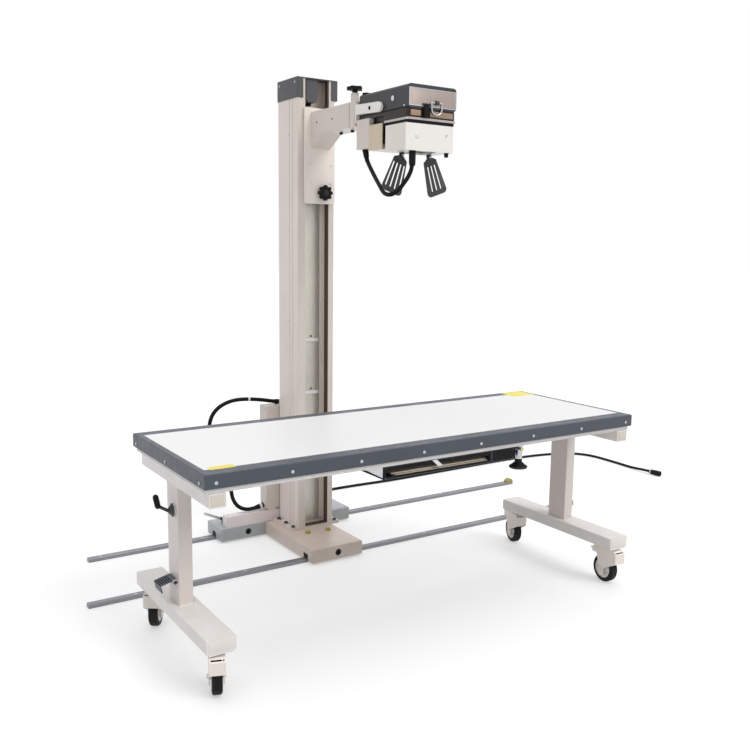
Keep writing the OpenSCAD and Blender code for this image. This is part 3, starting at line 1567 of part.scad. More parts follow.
module collimator() {
  screw_r = 5;
  screw_h = 2;
  front = head_front - box_front_step;
  screw_shares = [[0.238, 0.495], [0.844, 0.636]];
  window_y = (head_front + box_back) / 2;
  stub_inset = 25;
  stub_r = 8;
  stub_x = box_left_x + head_w - stub_inset;
  stub_y = head_front + 1.5 * stub_r;
  last = len(hose_route) - 1;
  color(cream) placed() difference() {
    union() {
      difference() {
        round_span([box_left_x, front, box_bottom], [box_left_x + head_w, box_back, box_top], tube_r);
        span([box_left_x + box_wall, front + box_wall, box_bottom + 2 * box_wall],
          [box_left_x + head_w - box_wall, box_back - box_wall, box_top - box_wall]);
      }
      for (share = screw_shares) bar_y(box_left_x + share.x * head_w, box_bottom + share.y * box_h,
        front - screw_h, front + over, screw_r);
      for (side = [-1, 1], end = [-1, 1]) {
        x = box_mid_x + side * flap_reach;
        mid = flap_y + end * (flap_barrel_half + side_gap / 2 + flap_lug_t / 2);
        span([x - flap_barrel_r, mid - flap_lug_t / 2, flap_z],
          [x + flap_barrel_r, mid + flap_lug_t / 2, box_bottom + over]);
        bar_y(x, flap_z, mid - flap_lug_t / 2, mid + flap_lug_t / 2, flap_barrel_r);
      }
      for (side = [-1, 1]) bar_y(box_mid_x + side * flap_reach, flap_z,
        flap_y - flap_barrel_half - flap_lug_t, flap_y + flap_barrel_half + flap_lug_t, flap_pin_r);
      post(hose_route[last].x, hose_route[last].y, hose_route[last].z, box_bottom + over, hose_gland_r);
      post(stub_x, stub_y, box_bottom - 2 * stub_r, box_bottom + over, stub_r);
    }
    span([box_mid_x - beam_window / 2, window_y - beam_window / 2, box_bottom - over],
      [box_mid_x + beam_window / 2, window_y + beam_window / 2, box_bottom + 3 * box_wall]);
  }
}

module rear_box() {
  screw_r = 4;
  screw_h = 2;
  side_t = 5;
  right = box_left_x + head_w;
  color(cream) placed() {
    difference() {
      round_span([tine_left_x, side_back, box_bottom + rear_rise], [right, head_back, rear_band_z], tube_r);
      span([tine_left_x + side_t, side_back + side_t, box_bottom + rear_rise + side_t],
        [right - side_t, head_back - side_t, rear_band_z - side_t]);
    }
    for (x = [tine_left_x, right - side_t]) {
      span([x, neck_back, box_bottom + side_rise], [x + side_t, side_back + over, lip_bottom]);
      for (z = [box_bottom + rear_rise + side_rise, lip_bottom - screw_r])
        bar_x(side_back - neck_d, z, x - screw_h, x + side_t + screw_h, screw_r);
    }
    along(hose_route[0], hose_route[0] - hose_route[1], gland_len, hose_gland_r);
  }
}

// Fan-shaped positioning flap with slots, hanging from its barrel, in the XZ plane
module flap(side, slots) {
  shoulder = 16;
  slot_inset = 24;
  slot_lean = 3;
  end_y = -shoulder - flap_len;
  flare = atan2(flap_half_end - flap_half_top, flap_len);
  corner_x = flap_half_end - flap_r * (1 + sin(flare)) / cos(flare);
  side_x = corner_x + flap_r * cos(flare);
  side_y = end_y + flap_r + flap_r * sin(flare);
  color(beige) placed() translate([box_mid_x + side * flap_reach, flap_y, flap_z])
    rotate([90, 0, 0]) rotate(side * flap_lean) difference() {
      union() {
        translate([0, 0, -flap_t / 2]) linear_extrude(flap_t) difference() {
          union() {
            polygon([[-flap_barrel_r, 0], [-flap_half_top, -shoulder], [-side_x, side_y],
              [-corner_x, end_y], [corner_x, end_y], [side_x, side_y],
              [flap_half_top, -shoulder], [flap_barrel_r, 0]]);
            for (end = [-1, 1]) translate([end * corner_x, end_y + flap_r]) circle(flap_r);
          }
          for (i = [0 : slots - 1]) {
            step = i - (slots - 1) / 2;
            translate([2 * flap_slot_w * step, 0]) rotate(slot_lean * step)
              for (y = [-shoulder - slot_inset, end_y + slot_inset]) {
                translate([0, y]) circle(flap_slot_w / 2);
                translate([-flap_slot_w / 2, end_y + slot_inset])
                  square([flap_slot_w, flap_len - 2 * slot_inset]);
              }
          }
        }
        translate([0, 0, side_gap / 2 - flap_barrel_half])
          cylinder(h = 2 * flap_barrel_half - side_gap, r = flap_barrel_r);
      }
      translate([0, 0, -2 * flap_barrel_half])
        cylinder(h = 4 * flap_barrel_half, r = flap_pin_r + run_gap);
    }
}

module flap_left() { flap(-1, 4); }
module flap_right() { flap(1, 3); }

// What is drawn: the whole assembly or one piece
top_panel();
edge_frame();
edge_screws();
subframe();
leg_left();
leg_right();
fork_front_left();
fork_rear_left();
fork_front_right();
fork_rear_right();
wheel_front_left();
wheel_rear_left();
wheel_front_right();
wheel_rear_right();
brake_front_left();
brake_front_right();
hand_lever();
brake_pedal();
slide_rails();
tray_frame();
tray_slats();
tray_brackets();
tray_knob();
floor_rails();
rail_stops();
trolley_frame();
rail_wipers();
roller_front();
roller_rear_left();
roller_rear_right();
trolley_lever();
trolley_caps();
cable_duct();
control_box();
service_loop();
column_base();
column();
column_cap();
column_liner();
slot_strip();
pulley_block();
pulley();
counterweight();
carriage();
carriage_knob();
arm();
arm_knob();
arm_clamp();
yoke();
head_case();
head_band();
head_latch();
head_handle();
collimator();
rear_box();
flap_left();
flap_right();
head_hose();
supply_cable();
cable_plug();
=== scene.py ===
import math

import bmesh
import bpy
from mathutils import Matrix, Vector


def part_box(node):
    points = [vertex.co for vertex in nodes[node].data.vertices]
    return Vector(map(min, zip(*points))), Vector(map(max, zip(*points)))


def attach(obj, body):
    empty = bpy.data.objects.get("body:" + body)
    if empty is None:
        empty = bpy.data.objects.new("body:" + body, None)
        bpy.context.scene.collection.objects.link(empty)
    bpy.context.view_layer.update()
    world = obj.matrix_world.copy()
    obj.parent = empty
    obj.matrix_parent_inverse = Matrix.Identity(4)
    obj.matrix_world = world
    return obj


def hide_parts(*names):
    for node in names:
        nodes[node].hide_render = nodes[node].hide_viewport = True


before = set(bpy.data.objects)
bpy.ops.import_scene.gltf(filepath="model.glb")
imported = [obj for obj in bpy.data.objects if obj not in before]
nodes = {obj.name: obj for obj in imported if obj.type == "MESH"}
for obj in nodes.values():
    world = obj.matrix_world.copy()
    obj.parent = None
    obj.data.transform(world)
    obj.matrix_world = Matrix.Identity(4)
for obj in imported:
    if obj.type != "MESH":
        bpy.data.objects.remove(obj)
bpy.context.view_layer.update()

# The drawing's places are in millimetres from the middle of the table top on the floor.
# The row frame has its origin at the middle of the whole base.
MID_X = 281.5
MID_Y = 426.2523
MM = 0.001

LEFT, RIGHT = (-1, 0, 0), (1, 0, 0)
FRONT, BACK = (0, -1, 0), (0, 1, 0)
DOWN, UP = (0, 0, -1), (0, 0, 1)


def at(x, y, z):
    """A place in the drawing as a point of the row frame, in metres."""
    return Vector(((x - MID_X) * MM, (y - MID_Y) * MM, z * MM))


def drawn(point):
    """A point of the row frame as a place in the drawing."""
    return point.x / MM + MID_X, point.y / MM + MID_Y, point.z / MM


class Box:
    """The box round a CAD node at rest, in the drawing's millimetres."""

    def __init__(self, name):
        low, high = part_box(name)
        self.left, self.front, self.bottom = drawn(low)
        self.right, self.back, self.top = drawn(high)
        self.mid_x = (self.left + self.right) / 2
        self.mid_y = (self.front + self.back) / 2
        self.mid_z = (self.bottom + self.top) / 2


def add_object(name, data):
    """A new object in the scene."""
    made = bpy.data.objects.new(name, data)
    bpy.context.scene.collection.objects.link(made)
    return made


# Camera, fitted to the photograph
azimuth = math.radians(33.25)
dip = math.radians(8.57)
roll = math.radians(0.70)
eye = at(-2001.6, -2863.2, 1506.3)
forward = Vector((math.sin(azimuth) * math.cos(dip), math.cos(azimuth) * math.cos(dip), -math.sin(dip)))
side = Vector((math.cos(azimuth), -math.sin(azimuth), 0))
rise = side.cross(forward)
right = math.cos(roll) * side + math.sin(roll) * rise
above = -math.sin(roll) * side + math.cos(roll) * rise
camera_data = bpy.data.cameras.new("camera")
camera_data.lens = 41.38
camera_data.sensor_width = 36
camera_data.clip_end = 60
camera = add_object("camera", camera_data)
turn = Matrix((right, above, -forward)).transposed().to_4x4()
camera.matrix_world = Matrix.Translation(eye) @ turn
bpy.context.scene.camera = camera


# Materials
class Surface:
    """A node material with short ways to add noise, ramps and bump."""

    def __init__(self, name, rough, metallic=0.0):
        self.mat = bpy.data.materials.new(name)
        self.mat.use_nodes = True
        self.tree = self.mat.node_tree
        self.shader = self.tree.nodes["Principled BSDF"]
        self.shader.inputs["Roughness"].default_value = rough
        self.shader.inputs["Metallic"].default_value = metallic
        self.coords = self.tree.nodes.new("ShaderNodeTexCoord")

    def link(self, a, b):
        self.tree.links.new(a, b)

    def shine(self, level):
        self.shader.inputs["Specular IOR Level"].default_value = level

    def coat(self, weight, rough):
        self.shader.inputs["Coat Weight"].default_value = weight
        self.shader.inputs["Coat Roughness"].default_value = rough

    def noise(self, scale, detail, stretch=(1, 1, 1)):
        mapping = self.tree.nodes.new("ShaderNodeMapping")
        mapping.inputs["Scale"].default_value = stretch
        self.link(self.coords.outputs["Object"], mapping.inputs["Vector"])
        tex = self.tree.nodes.new("ShaderNodeTexNoise")
        tex.inputs["Scale"].default_value = scale
        tex.inputs["Detail"].default_value = detail
        self.link(mapping.outputs["Vector"], tex.inputs["Vector"])
        return tex.outputs["Fac"]

    def ramp(self, fac, stops):
        ramp = self.tree.nodes.new("ShaderNodeValToRGB")
        elements = ramp.color_ramp.elements
        while len(elements) < len(stops):
            elements.new(0.5)
        for element, (place, colour) in zip(elements, stops):
            element.position = place
            element.color = (*colour, 1)
        self.link(fac, ramp.inputs["Fac"])
        return ramp.outputs["Color"]

    def cloud(self, fac, colour, tint):
        """A colour that gets a little darker and lighter with the noise."""
        return self.ramp(fac, [(0.3, shade(colour, 1 - tint)), (0.7, shade(colour, 1 + tint))])

    def span(self, fac, low, high):
        """The noise's usual range, from 0.3 to 0.7, spread between two values."""
        node = self.tree.nodes.new("ShaderNodeMapRange")
        node.inputs["From Min"].default_value = 0.3
        node.inputs["From Max"].default_value = 0.7
        node.inputs["To Min"].default_value = low
        node.inputs["To Max"].default_value = high
        self.link(fac, node.inputs["Value"])
        return node.outputs["Result"]

    def mix(self, fac, base, colour):
        """A plain colour laid over the base."""
        node = self.tree.nodes.new("ShaderNodeMix")
        node.data_type = "RGBA"
        fac_input, base_input, colour_input = node.inputs[0], node.inputs[6], node.inputs[7]
        self.link(fac, fac_input)
        self.link(base, base_input)
        colour_input.default_value = (*colour, 1)
        return node.outputs[2]

    def bump(self, height, strength, distance, after=None):
        node = self.tree.nodes.new("ShaderNodeBump")
        node.inputs["Strength"].default_value = strength
        node.inputs["Distance"].default_value = distance
        self.link(height, node.inputs["Height"])
        if after is not None:
            self.link(after, node.inputs["Normal"])
        return node.outputs["Normal"]

    def finish(self, colour, rough, normal):
        for value, name in ((colour, "Base Color"), (rough, "Roughness"), (normal, "Normal")):
            self.link(value, self.shader.inputs[name])
        return self.mat


def shade(colour, share):
    return tuple(min(1.0, c * share) for c in colour)


def enamel(name, colour, rough=0.36, coat=0.15, peel=0.25, tint=0.04, dirt=None, shine=0.5):
    """Powder coat: faint cloudy tint, orange peel and uneven gloss."""
    s = Surface(name, rough)
    s.shine(shine)
    s.coat(weight=coat, rough=0.2)
    base = s.cloud(s.noise(scale=3.2, detail=4), colour, tint)
    if dirt:
        base = s.mix(s.span(s.noise(scale=19, detail=6), low=0, high=0.16), base, dirt)
    gloss = s.span(s.noise(scale=24, detail=5), low=rough - 0.06, high=rough + 0.08)
    fine = s.bump(s.noise(scale=620, detail=2), strength=peel, distance=0.0004)
    wide = s.bump(s.noise(scale=9, detail=2), strength=0.08, distance=0.002, after=fine)
    return s.finish(base, gloss, wide)


def metal(name, colour, rough=0.32, stretch=(1, 60, 60), tint=0.12, peel=0.15):
    """Drawn or brushed metal with lines along one axis."""
    s = Surface(name, rough, metallic=1.0)
    lines = s.noise(scale=18, detail=4, stretch=stretch)
    base = s.cloud(lines, colour, tint)
    base = s.mix(s.span(s.noise(scale=7, detail=5), low=0, high=0.25), base, shade(colour, 0.75))
    gloss = s.span(s.noise(scale=40, detail=3, stretch=stretch), low=rough - 0.08, high=rough + 0.14)
    return s.finish(base, gloss, s.bump(lines, strength=peel, distance=0.0003))


def plastic(name, colour, rough=0.5, grain=0.35, tint=0.1, shine=0.5):
    """Moulded plastic with a fine grain."""
    s = Surface(name, rough)
    s.shine(shine)
    base = s.cloud(s.noise(scale=5, detail=4), colour, tint)
    gloss = s.span(s.noise(scale=60, detail=4), low=rough - 0.07, high=rough + 0.09)
    return s.finish(base, gloss, s.bump(s.noise(scale=900, detail=2), strength=grain, distance=0.0003))


def rubber(name, colour, rough=0.55, dust=(0.10, 0.095, 0.09)):
    """Dull rubber with some dust on it."""
    s = Surface(name, rough)
    s.shine(0.1)
    base = s.ramp(s.noise(scale=30, detail=5), [(0.35, colour), (0.75, shade(colour, 1.5))])
    base = s.mix(s.span(s.noise(scale=11, detail=6), low=0, high=0.12), base, dust)
    gloss = s.span(s.noise(scale=45, detail=4), low=rough - 0.08, high=rough + 0.1)
    return s.finish(base, gloss, s.bump(s.noise(scale=500, detail=3), strength=0.3, distance=0.0004))


def laminate(name, colour):
    """The smooth sheet on the table."""
    s = Surface(name, rough=0.42)
    s.coat(weight=0.08, rough=0.25)
    base = s.ramp(s.noise(scale=1.6, detail=3), [(0.3, shade(colour, 0.985)), (0.7, shade(colour, 1.01))])
    gloss = s.span(s.noise(scale=14, detail=5), low=0.38, high=0.48)
    return s.finish(base, gloss, s.bump(s.noise(scale=700, detail=2), strength=0.05, distance=0.0001))


def painted_reflection_gloss(name, left_colour, right_colour, left_x, right_x):
    """A glossy panel whose colour runs from one side to the other, which is a painted reflection."""
    s = Surface(name, rough=0.14)
    s.coat(weight=0.8, rough=0.05)
    split = s.tree.nodes.new("ShaderNodeSeparateXYZ")
    s.link(s.coords.outputs["Object"], split.inputs[0])
    across = s.tree.nodes.new("ShaderNodeMapRange")
    across.inputs["From Min"].default_value = (left_x - MID_X) * MM
    across.inputs["From Max"].default_value = (right_x - MID_X) * MM
    s.link(split.outputs["X"], across.inputs["Value"])
    stops = [(0.0, left_colour), (0.45, shade(left_colour, 0.7)), (1.0, right_colour)]
    base = s.ramp(across.outputs["Result"], stops)
    base = s.mix(s.span(s.noise(scale=30, detail=5), low=0, high=0.2), base, shade(right_colour, 0.6))
    gloss = s.span(s.noise(scale=40, detail=4), low=0.1, high=0.2)
    return s.finish(base, gloss, s.bump(s.noise(scale=300, detail=2), strength=0.05, distance=0.0003))


cream = enamel("cream_enamel", (0.76, 0.68, 0.62))
pale = enamel("pale_enamel", (0.84, 0.80, 0.76), tint=0.02)
bright_cream = enamel("bright_cream_enamel", (0.95, 0.87, 0.80), tint=0.03)
white_enamel = enamel("white_enamel", (0.97, 0.94, 0.89), tint=0.02)
# A darker cream for the table's posts, which is painted shade under the table top
post_shade_paint = enamel("post_shade_enamel", (0.74, 0.67, 0.63), tint=0.03)
# A brighter cream for the column's left side, which is painted light from the left
lit_side_cream = enamel("lit_side_enamel", (0.91, 0.81, 0.75), rough=0.44, coat=0.05, peel=0.08)
fork_cream = enamel("fork_enamel", (0.90, 0.82, 0.76), tint=0.03)
leg_paint = enamel("leg_enamel", (0.86, 0.82, 0.79), tint=0.02, dirt=(0.55, 0.5, 0.45))
duct_paint = enamel("duct_enamel", (0.88, 0.80, 0.79), tint=0.04)
# The grey of the trolley's rear bar is painted shade; its dirt is the bar's own
bar_shade_grey = enamel("bar_shade_enamel", (0.46, 0.49, 0.50), tint=0.06, dirt=(0.3, 0.3, 0.28))
trolley_paint = enamel("trolley_enamel", (0.74, 0.62, 0.54), tint=0.05, dirt=(0.42, 0.38, 0.33))
slate = enamel("slate_coat", (0.078, 0.088, 0.108), rough=0.45, coat=0.05, peel=0.4, tint=0.08, shine=0.3)
dark = enamel("dark_coat", (0.05, 0.05, 0.054), rough=0.42, coat=0.04, peel=0.4, tint=0.08, shine=0.3)
cap_grey = enamel("cap_grey", (0.10, 0.10, 0.108), rough=0.48, coat=0.05, peel=0.3, tint=0.08, shine=0.3)
bronze = enamel("bronze_coat", (0.028, 0.019, 0.015), rough=0.28, coat=0.12, peel=0.1, tint=0.15, shine=0.2)
beige = enamel("beige_coat", (0.72, 0.60, 0.44), rough=0.4, tint=0.08)
# The slats' own beige, made lighter to stand in for light in the tray's shade: partly their colour, partly
# painted light
slat_lit_beige = enamel("slat_lit_beige", (0.93, 0.81, 0.65), rough=0.45, tint=0.12)
# The light blue of the front plate's rim is a painted highlight
rim_highlight_blue = enamel("rim_highlight_enamel", (0.62, 0.70, 0.80), rough=0.25, coat=0.4, tint=0.05)
tan_gloss = enamel("tan_gloss", (0.36, 0.23, 0.15), rough=0.14, coat=0.6, peel=0.05, tint=0.35)
iron = enamel("painted_casting", (0.05, 0.05, 0.054), rough=0.6, coat=0, peel=0.9, shine=0.3)
white_top = laminate("white_laminate", (0.855, 0.85, 0.85))
zinc = metal("zinc_steel", (0.55, 0.56, 0.58))
rail_steel = metal("rail_steel", (0.27, 0.27, 0.29), rough=0.42, tint=0.2)
liner_steel = metal("liner_steel", (0.62, 0.60, 0.54), rough=0.4, stretch=(90, 90, 1), tint=0.22)
chrome = metal("bright_chrome", (0.50, 0.49, 0.48), rough=0.2, tint=0.1, peel=0.05)
lip_steel = metal("lip_steel", (0.46, 0.44, 0.42), rough=0.3, tint=0.1)
brass = metal("yellow_zinc", (0.62, 0.50, 0.22), rough=0.3)
black = plastic("black_plastic", (0.009, 0.009, 0.010), shine=0.12)
strip_brown = plastic("strip_brown", (0.075, 0.045, 0.034), shine=0.22)
lever_grey = plastic("lever_grey", (0.05, 0.054, 0.062), rough=0.45, shine=0.3)
olive = plastic("olive_plastic", (0.40, 0.35, 0.06), rough=0.45, grain=0.2)
ivory = plastic("ivory_plastic", (0.74, 0.68, 0.58), rough=0.42, grain=0.2, tint=0.04)
white_plastic = plastic("white_plastic", (0.85, 0.85, 0.85), rough=0.4, grain=0.1, tint=0.02)
yellow = plastic("yellow_film", (0.86, 0.72, 0.08), rough=0.4, grain=0.15, tint=0.05)
tyre = rubber("tyre_rubber", (0.012, 0.012, 0.013))
hose_rubber = rubber("hose_rubber", (0.005, 0.005, 0.006), rough=0.4, dust=(0.03, 0.03, 0.03))
# The front plate's colour, running from left to right, is a painted reflection
front_painted_reflection = painted_reflection_gloss("front_painted_reflection", left_colour=(0.70, 0.58, 0.52), right_colour=(0.42, 0.33, 0.28),
                             left_x=71, right_x=293)


# Paint of the CAD nodes
def paint(name, *materials):
    """Puts materials into a CAD node's slots."""
    mesh = nodes[name].data
    mesh.materials.clear()
    for material in materials:
        mesh.materials.append(material)


NODE_PAINT = {
    white_top: "top_panel",
    slate: "edge_frame brake_pedal",
    pale: "subframe",
    white_enamel: "yoke",
    cream: "column_base arm rear_box control_box",
    bright_cream: "carriage",
    fork_cream: "fork_front_left fork_rear_left fork_front_right fork_rear_right",
    duct_paint: "cable_duct",
    zinc: "edge_screws slide_rails tray_brackets roller_front roller_rear_left roller_rear_right pulley"
          " brake_front_left brake_front_right trolley_lever",
    rail_steel: "floor_rails",
    liner_steel: "column_liner",
    black: "tray_frame tray_knob carriage_knob arm_knob arm_clamp head_latch cable_plug rail_wipers",
    strip_brown: "slot_strip",
    slat_lit_beige: "tray_slats",
    olive: "rail_stops trolley_caps",
    cap_grey: "column_cap pulley_block",
    dark: "head_case flap_left flap_right",
    chrome: "head_handle",
    iron: "counterweight",
    hose_rubber: "service_loop supply_cable head_hose",
}
for material, names in NODE_PAINT.items():
    for name in names.split():
        paint(name, material)


def paint_faces(name, materials, choose):
    """Gives each face of a CAD node the material that its middle asks for."""
    paint(name, *materials)
    node = nodes[name]
    for polygon in node.data.polygons:
        polygon.material_index = choose(*drawn(node.matrix_world @ polygon.center))


# Nodes with more than one colour. A limit keeps this distance from the faces that it parts.
HAIR = 0.1

# Each caster's swivel axis, and the angle in degrees by which it is swivelled
CASTERS = {"front_left": (-952, -320, 20), "rear_left": (-952, 304, 33),
           "front_right": (952, -320, 5), "rear_right": (952, 304, 17)}
WHEEL_R = 62.5
TRAIL = 26
DISC_R = 44.5


def caster_axle(name):
    """The middle of a caster's wheel and the direction of its axle."""
    x, y, angle = CASTERS[name]
    c, k = math.cos(math.radians(angle)), math.sin(math.radians(angle))
    return (x + TRAIL * k, y + TRAIL * c, WHEEL_R), (c, -k, 0)


def axle_distance(place, middle, direction):
    """How far a place is from the line of an axle."""
    arm = Vector(place) - Vector(middle)
    direction = Vector(direction).normalized()
    return (arm - direction * arm.dot(direction)).length


for name in CASTERS:
    axle = caster_axle(name)
    paint_faces("wheel_" + name, (tyre, pale),
                lambda x, y, z: 1 if axle_distance((x, y, z), *axle) < DISC_R else 0)

# The table's legs: the beam on the casters, the post, and the cross beam under the top. The posts' darker
# paint is painted shade under the table top.
BEAM_LOW, BEAM_TOP = 175, 226
CROSS_LOW, CROSS_TOP = 663, 713
for name in ("leg_left", "leg_right"):
    paint_faces(name, (leg_paint, post_shade_paint), lambda x, y, z: 1 if BEAM_TOP < z < CROSS_LOW else 0)


GRIP_RIGHT, GRIP_LOW = -1024, 578
SEAT_LEFT = -983.5


def lever_part(x, y, z):
    """The hand lever's grey arm, its black grip and its pale seat on the post."""
    if x < GRIP_RIGHT and z > GRIP_LOW:
        return 1
    return 2 if x > SEAT_LEFT else 0


paint_faces("hand_lever", (lever_grey, black, leg_paint), lever_part)

# The stand: the trolley's rear bar is painted grey, which is painted shade; the base's bolts are dark; the
# column's left side is painted brighter, which is painted light from the left
BAR_FRONT = 1062
column = Box("column")
paint_faces("trolley_frame", (trolley_paint, bar_shade_grey), lambda x, y, z: 1 if y > BAR_FRONT - HAIR else 0)
paint_faces("column_base", (cream, iron), lambda x, y, z: 1 if z > column.bottom + 0.5 else 0)
# The column's left side gets the brighter cream: painted light
paint_faces("column", (cream, lit_side_cream), lambda x, y, z: 1 if x < column.left + 1 else 0)

# The two bolts below the arm are black, and the gusset behind them is cream
ARM_FLOOR = 2018
BOLTS_BACK = 700
paint_faces("arm", (cream, black), lambda x, y, z: 1 if z < ARM_FLOOR - HAIR and y < BOLTS_BACK else 0)

# The black below the lip and on the band's neck and tail is painted shade of the gap under the head
LIP_LOW, LIP_TOP = 2010, 2019
NECK_FRONT, NECK_TOP = 209, 2018
TAIL_FRONT, TAIL_TOP = 329, 2040


def band_part(x, y, z):
    """The dark band of the head, the bright lip at its foot, and the black plate below with the black neck
    and tail, whose black is painted shade of the gap under the head.
    """
    if z < LIP_LOW - HAIR or (y > NECK_FRONT and z < NECK_TOP) or (y > TAIL_FRONT and z < TAIL_TOP):
        return 2
    return 1 if z < LIP_TOP - HAIR else 0


paint_faces("head_band", (bronze, lip_steel, black), band_part)

BOX_FLOOR = 1889
collimator = Box("collimator")


def collimator_part(x, y, z):
    """The collimator's white front, its dark floor and its cream sides."""
    if z < BOX_FLOOR - HAIR:
        return 1
    return 2 if x < collimator.left + 2 * HAIR or x > collimator.right - 2 * HAIR else 0


paint_faces("collimator", (white_enamel, iron, bright_cream), collimator_part)

PLATE_BACK = 330
HOUSING_FLOOR = 1917


def housing_part(x, y, z):
    """The cream rear housing, its beige side plates in front and its black floor."""
    if y < PLATE_BACK - HAIR:
        return 1
    return 2 if z < HOUSING_FLOOR - HAIR else 0


paint_faces("rear_box", (cream, beige, black), housing_part)


# Shapes
def smooth(mesh, angle):
    """Smooth shading, except over edges that turn by more than the angle in degrees."""
    for polygon in mesh.polygons:
        polygon.use_smooth = True
    mesh.set_sharp_from_angle(angle=math.radians(angle))


def add_piece(name, data, material, body):
    """A piece of a body, made of a mesh or a curve."""
    data.materials.append(material)
    piece = add_object(name, data)
    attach(piece, body)
    return piece


def place(name, bm, material, body, slot):
    """A piece made of a finished bmesh."""
    bmesh.ops.recalc_face_normals(bm, faces=bm.faces)
    mesh = bpy.data.meshes.new(name)
    bm.to_mesh(mesh)
    bm.free()
    smooth(mesh, angle=38)
    add_piece(name, mesh, material, body)


def frame_of(axis):
    """Two directions square to an axis, and the axis, each of length one."""
    axis = Vector(axis).normalized()
    other = Vector((1, 0, 0)) if abs(axis.x) < 0.9 else Vector((0, 1, 0))
    u = axis.cross(other).normalized()
    return u, axis.cross(u), axis


def add_lathe(bm, profile, centre, axis, segments):
    """Turns (radius, height) pairs in millimetres about an axis."""
    u, v, w = frame_of(axis)
    angles = [2 * math.pi * k / segments for k in range(segments)]
    spokes = [u * math.cos(t) + v * math.sin(t) for t in angles]
    rings = []
    for r, h in profile:
        lift = w * h * MM
        if r == 0:
            rings.append([bm.verts.new(centre + lift)])
        else:
            rings.append([bm.verts.new(centre + spoke * r * MM + lift) for spoke in spokes])
    for a, b in zip(rings, rings[1:]):
        for k in range(segments):
            n = (k + 1) % segments
            if len(a) == 1:
                bm.faces.new((a[0], b[k], b[n]))
            elif len(b) == 1:
                bm.faces.new((a[k], a[n], b[0]))
            else:
                bm.faces.new((a[k], a[n], b[n], b[k]))


def lathes(name, items, material, body, slot, segments=24):
    """Several turned pieces as one object. Each item is (profile, centre, axis)."""
    bm = bmesh.new()
    for profile, centre, axis in items:
        add_lathe(bm, profile, centre, axis, segments)
    place(name, bm, material, body, slot)


def add_block(bm, low, high, r):
    """A block between two corners, in millimetres, with rounded edges."""
    made = bmesh.ops.create_cube(bm, size=1)["verts"]
    for v in made:
        v.co = [(a + b) / 2 + share * (b - a) for a, b, share in zip(at(*low), at(*high), v.co)]
    edges = {e for v in made for e in v.link_edges}
    bmesh.ops.bevel(bm, geom=list(edges), offset=r * MM, segments=3, profile=0.5, affect="EDGES")


def blocks(name, items, material, body, slot, r):
    """Several blocks as one object. Each item is (low corner, high corner)."""
    bm = bmesh.new()
    for low, high in items:
        add_block(bm, low, high, r)
    place(name, bm, material, body, slot)


def border(left, front, right, back, width, bottom, top):
    """Four flat strips inside a rectangle: front, back, left and right."""
    return [((left, front, bottom), (right, front + width, top)),
            ((left, back - width, bottom), (right, back, top)),
            ((left, front, bottom), (left + width, back, top)),
            ((right - width, front, bottom), (right, back, top))]


def copies(profile, places, axis):
    """The same turned piece at several places of the drawing."""
    return [(profile, at(*place), axis) for place in places]


def both_sides(profile, left, right, ys, zs):
    """The same turned piece on a left and a right face, at each of the depths and heights."""
    return (copies(profile, [(left, y, z) for y in ys for z in zs], LEFT)
            + copies(profile, [(right, y, z) for y in ys for z in zs], RIGHT))


# Profiles of turned pieces: pairs of radius and height above the face that carries the piece
def pan_head(r, h):
    """A screw head with its recess."""
    return [(0, h * 0.35), (r * 0.42, h * 0.35), (r * 0.5, h), (r * 0.82, h), (r, h * 0.6), (r, 0), (0, 0)]


def band(inner, outer, low, high):
    """A ring with square edges, open towards its axis."""
    return [(inner, low), (outer, low), (outer, high), (inner, high)]


def ridge(inner, outer):
    """A low raised ring on a disc."""
    return [(inner, -0.2), (inner + 0.8, 0.7), (outer - 0.8, 0.7), (outer, -0.2)]


def stud(face_r, r, top, edge, base):
    """A flat button with a sloping edge."""
    return [(0, top), (face_r, top), (r, edge), (r, base), (0, base)]


AXLE_NUT = [(0, 1.6), (3.4, 1.6), (4.6, 3.4), (6.6, 3.4), (7.2, 2.4), (7.2, -0.2), (0, -0.2)]
CASTER_BOLT = [(0, 7), (4, 7), (6.5, 6.4), (7.2, 5), (7.2, 0), (0, 0)]
LEVER_SEAT = [(11, -0.5), (25.3, -0.5), (25.3, 2.6), (24, 3.6), (11, 3.6)]
TRAY_BOLT = [(0, 3.2), (3, 4.6), (6, 4.6), (7.3, 3), (7.3, -0.3), (0, -0.3)]
KNOB_RIM = [(36.6, -0.5), (37.5, 0.4), (37.5, 2), (36.6, 2.9)]
RAIL_SCREW = [(0, -1.6), (2.4, -1.6), (2.6, -0.4), (7.4, -0.4), (7.7, -0.9), (7.7, -2.4), (0, -2.4)]
SOCKET_RING = [(12.1, -2), (12.1, 1.2), (15.5, 1.2), (16.5, 0), (16.5, -0.5)]
SOCKET_END = [(0, -17.2), (11.9, -17.2), (11.9, -0.5)]
LEVER_TIP = [(0, 3.6), (3.8, 3.6), (4.4, 6.9), (6.2, 6.9), (7.2, 5.8), (7.2, -10), (0, -10)]
BOOT = [(0, -38), (9.4, -38), (11, -34), (12.4, -22), (14.6, -12), (15, -8), (15, 12), (16.6, 13),
        (16.6, 22), (0, 22)]
HOSE_COLLAR = [(9.2, -30), (12.6, -26), (13.8, -16), (14.2, 0), (14.2, 27), (15.6, 28), (15.6, 31), (9, 31)]
PLUG_RING = [(16.2, 18), (18.4, 19), (18.4, 25), (16.2, 26)]
PLUG_PIN = [(0, 76), (1.8, 76), (2.2, 75), (2.2, 60), (0, 60)]
ANCHOR_WASHER = [(10.5, 1.6), (13.4, 1.6), (14, 1), (14, -0.4), (10.5, -0.4)]
PLATE_SCREW = [(0, 0.6), (2.6, 0.6), (3, 1.8), (5.6, 1.8), (6.6, 0.8), (6.6, -0.4), (0, -0.4)]
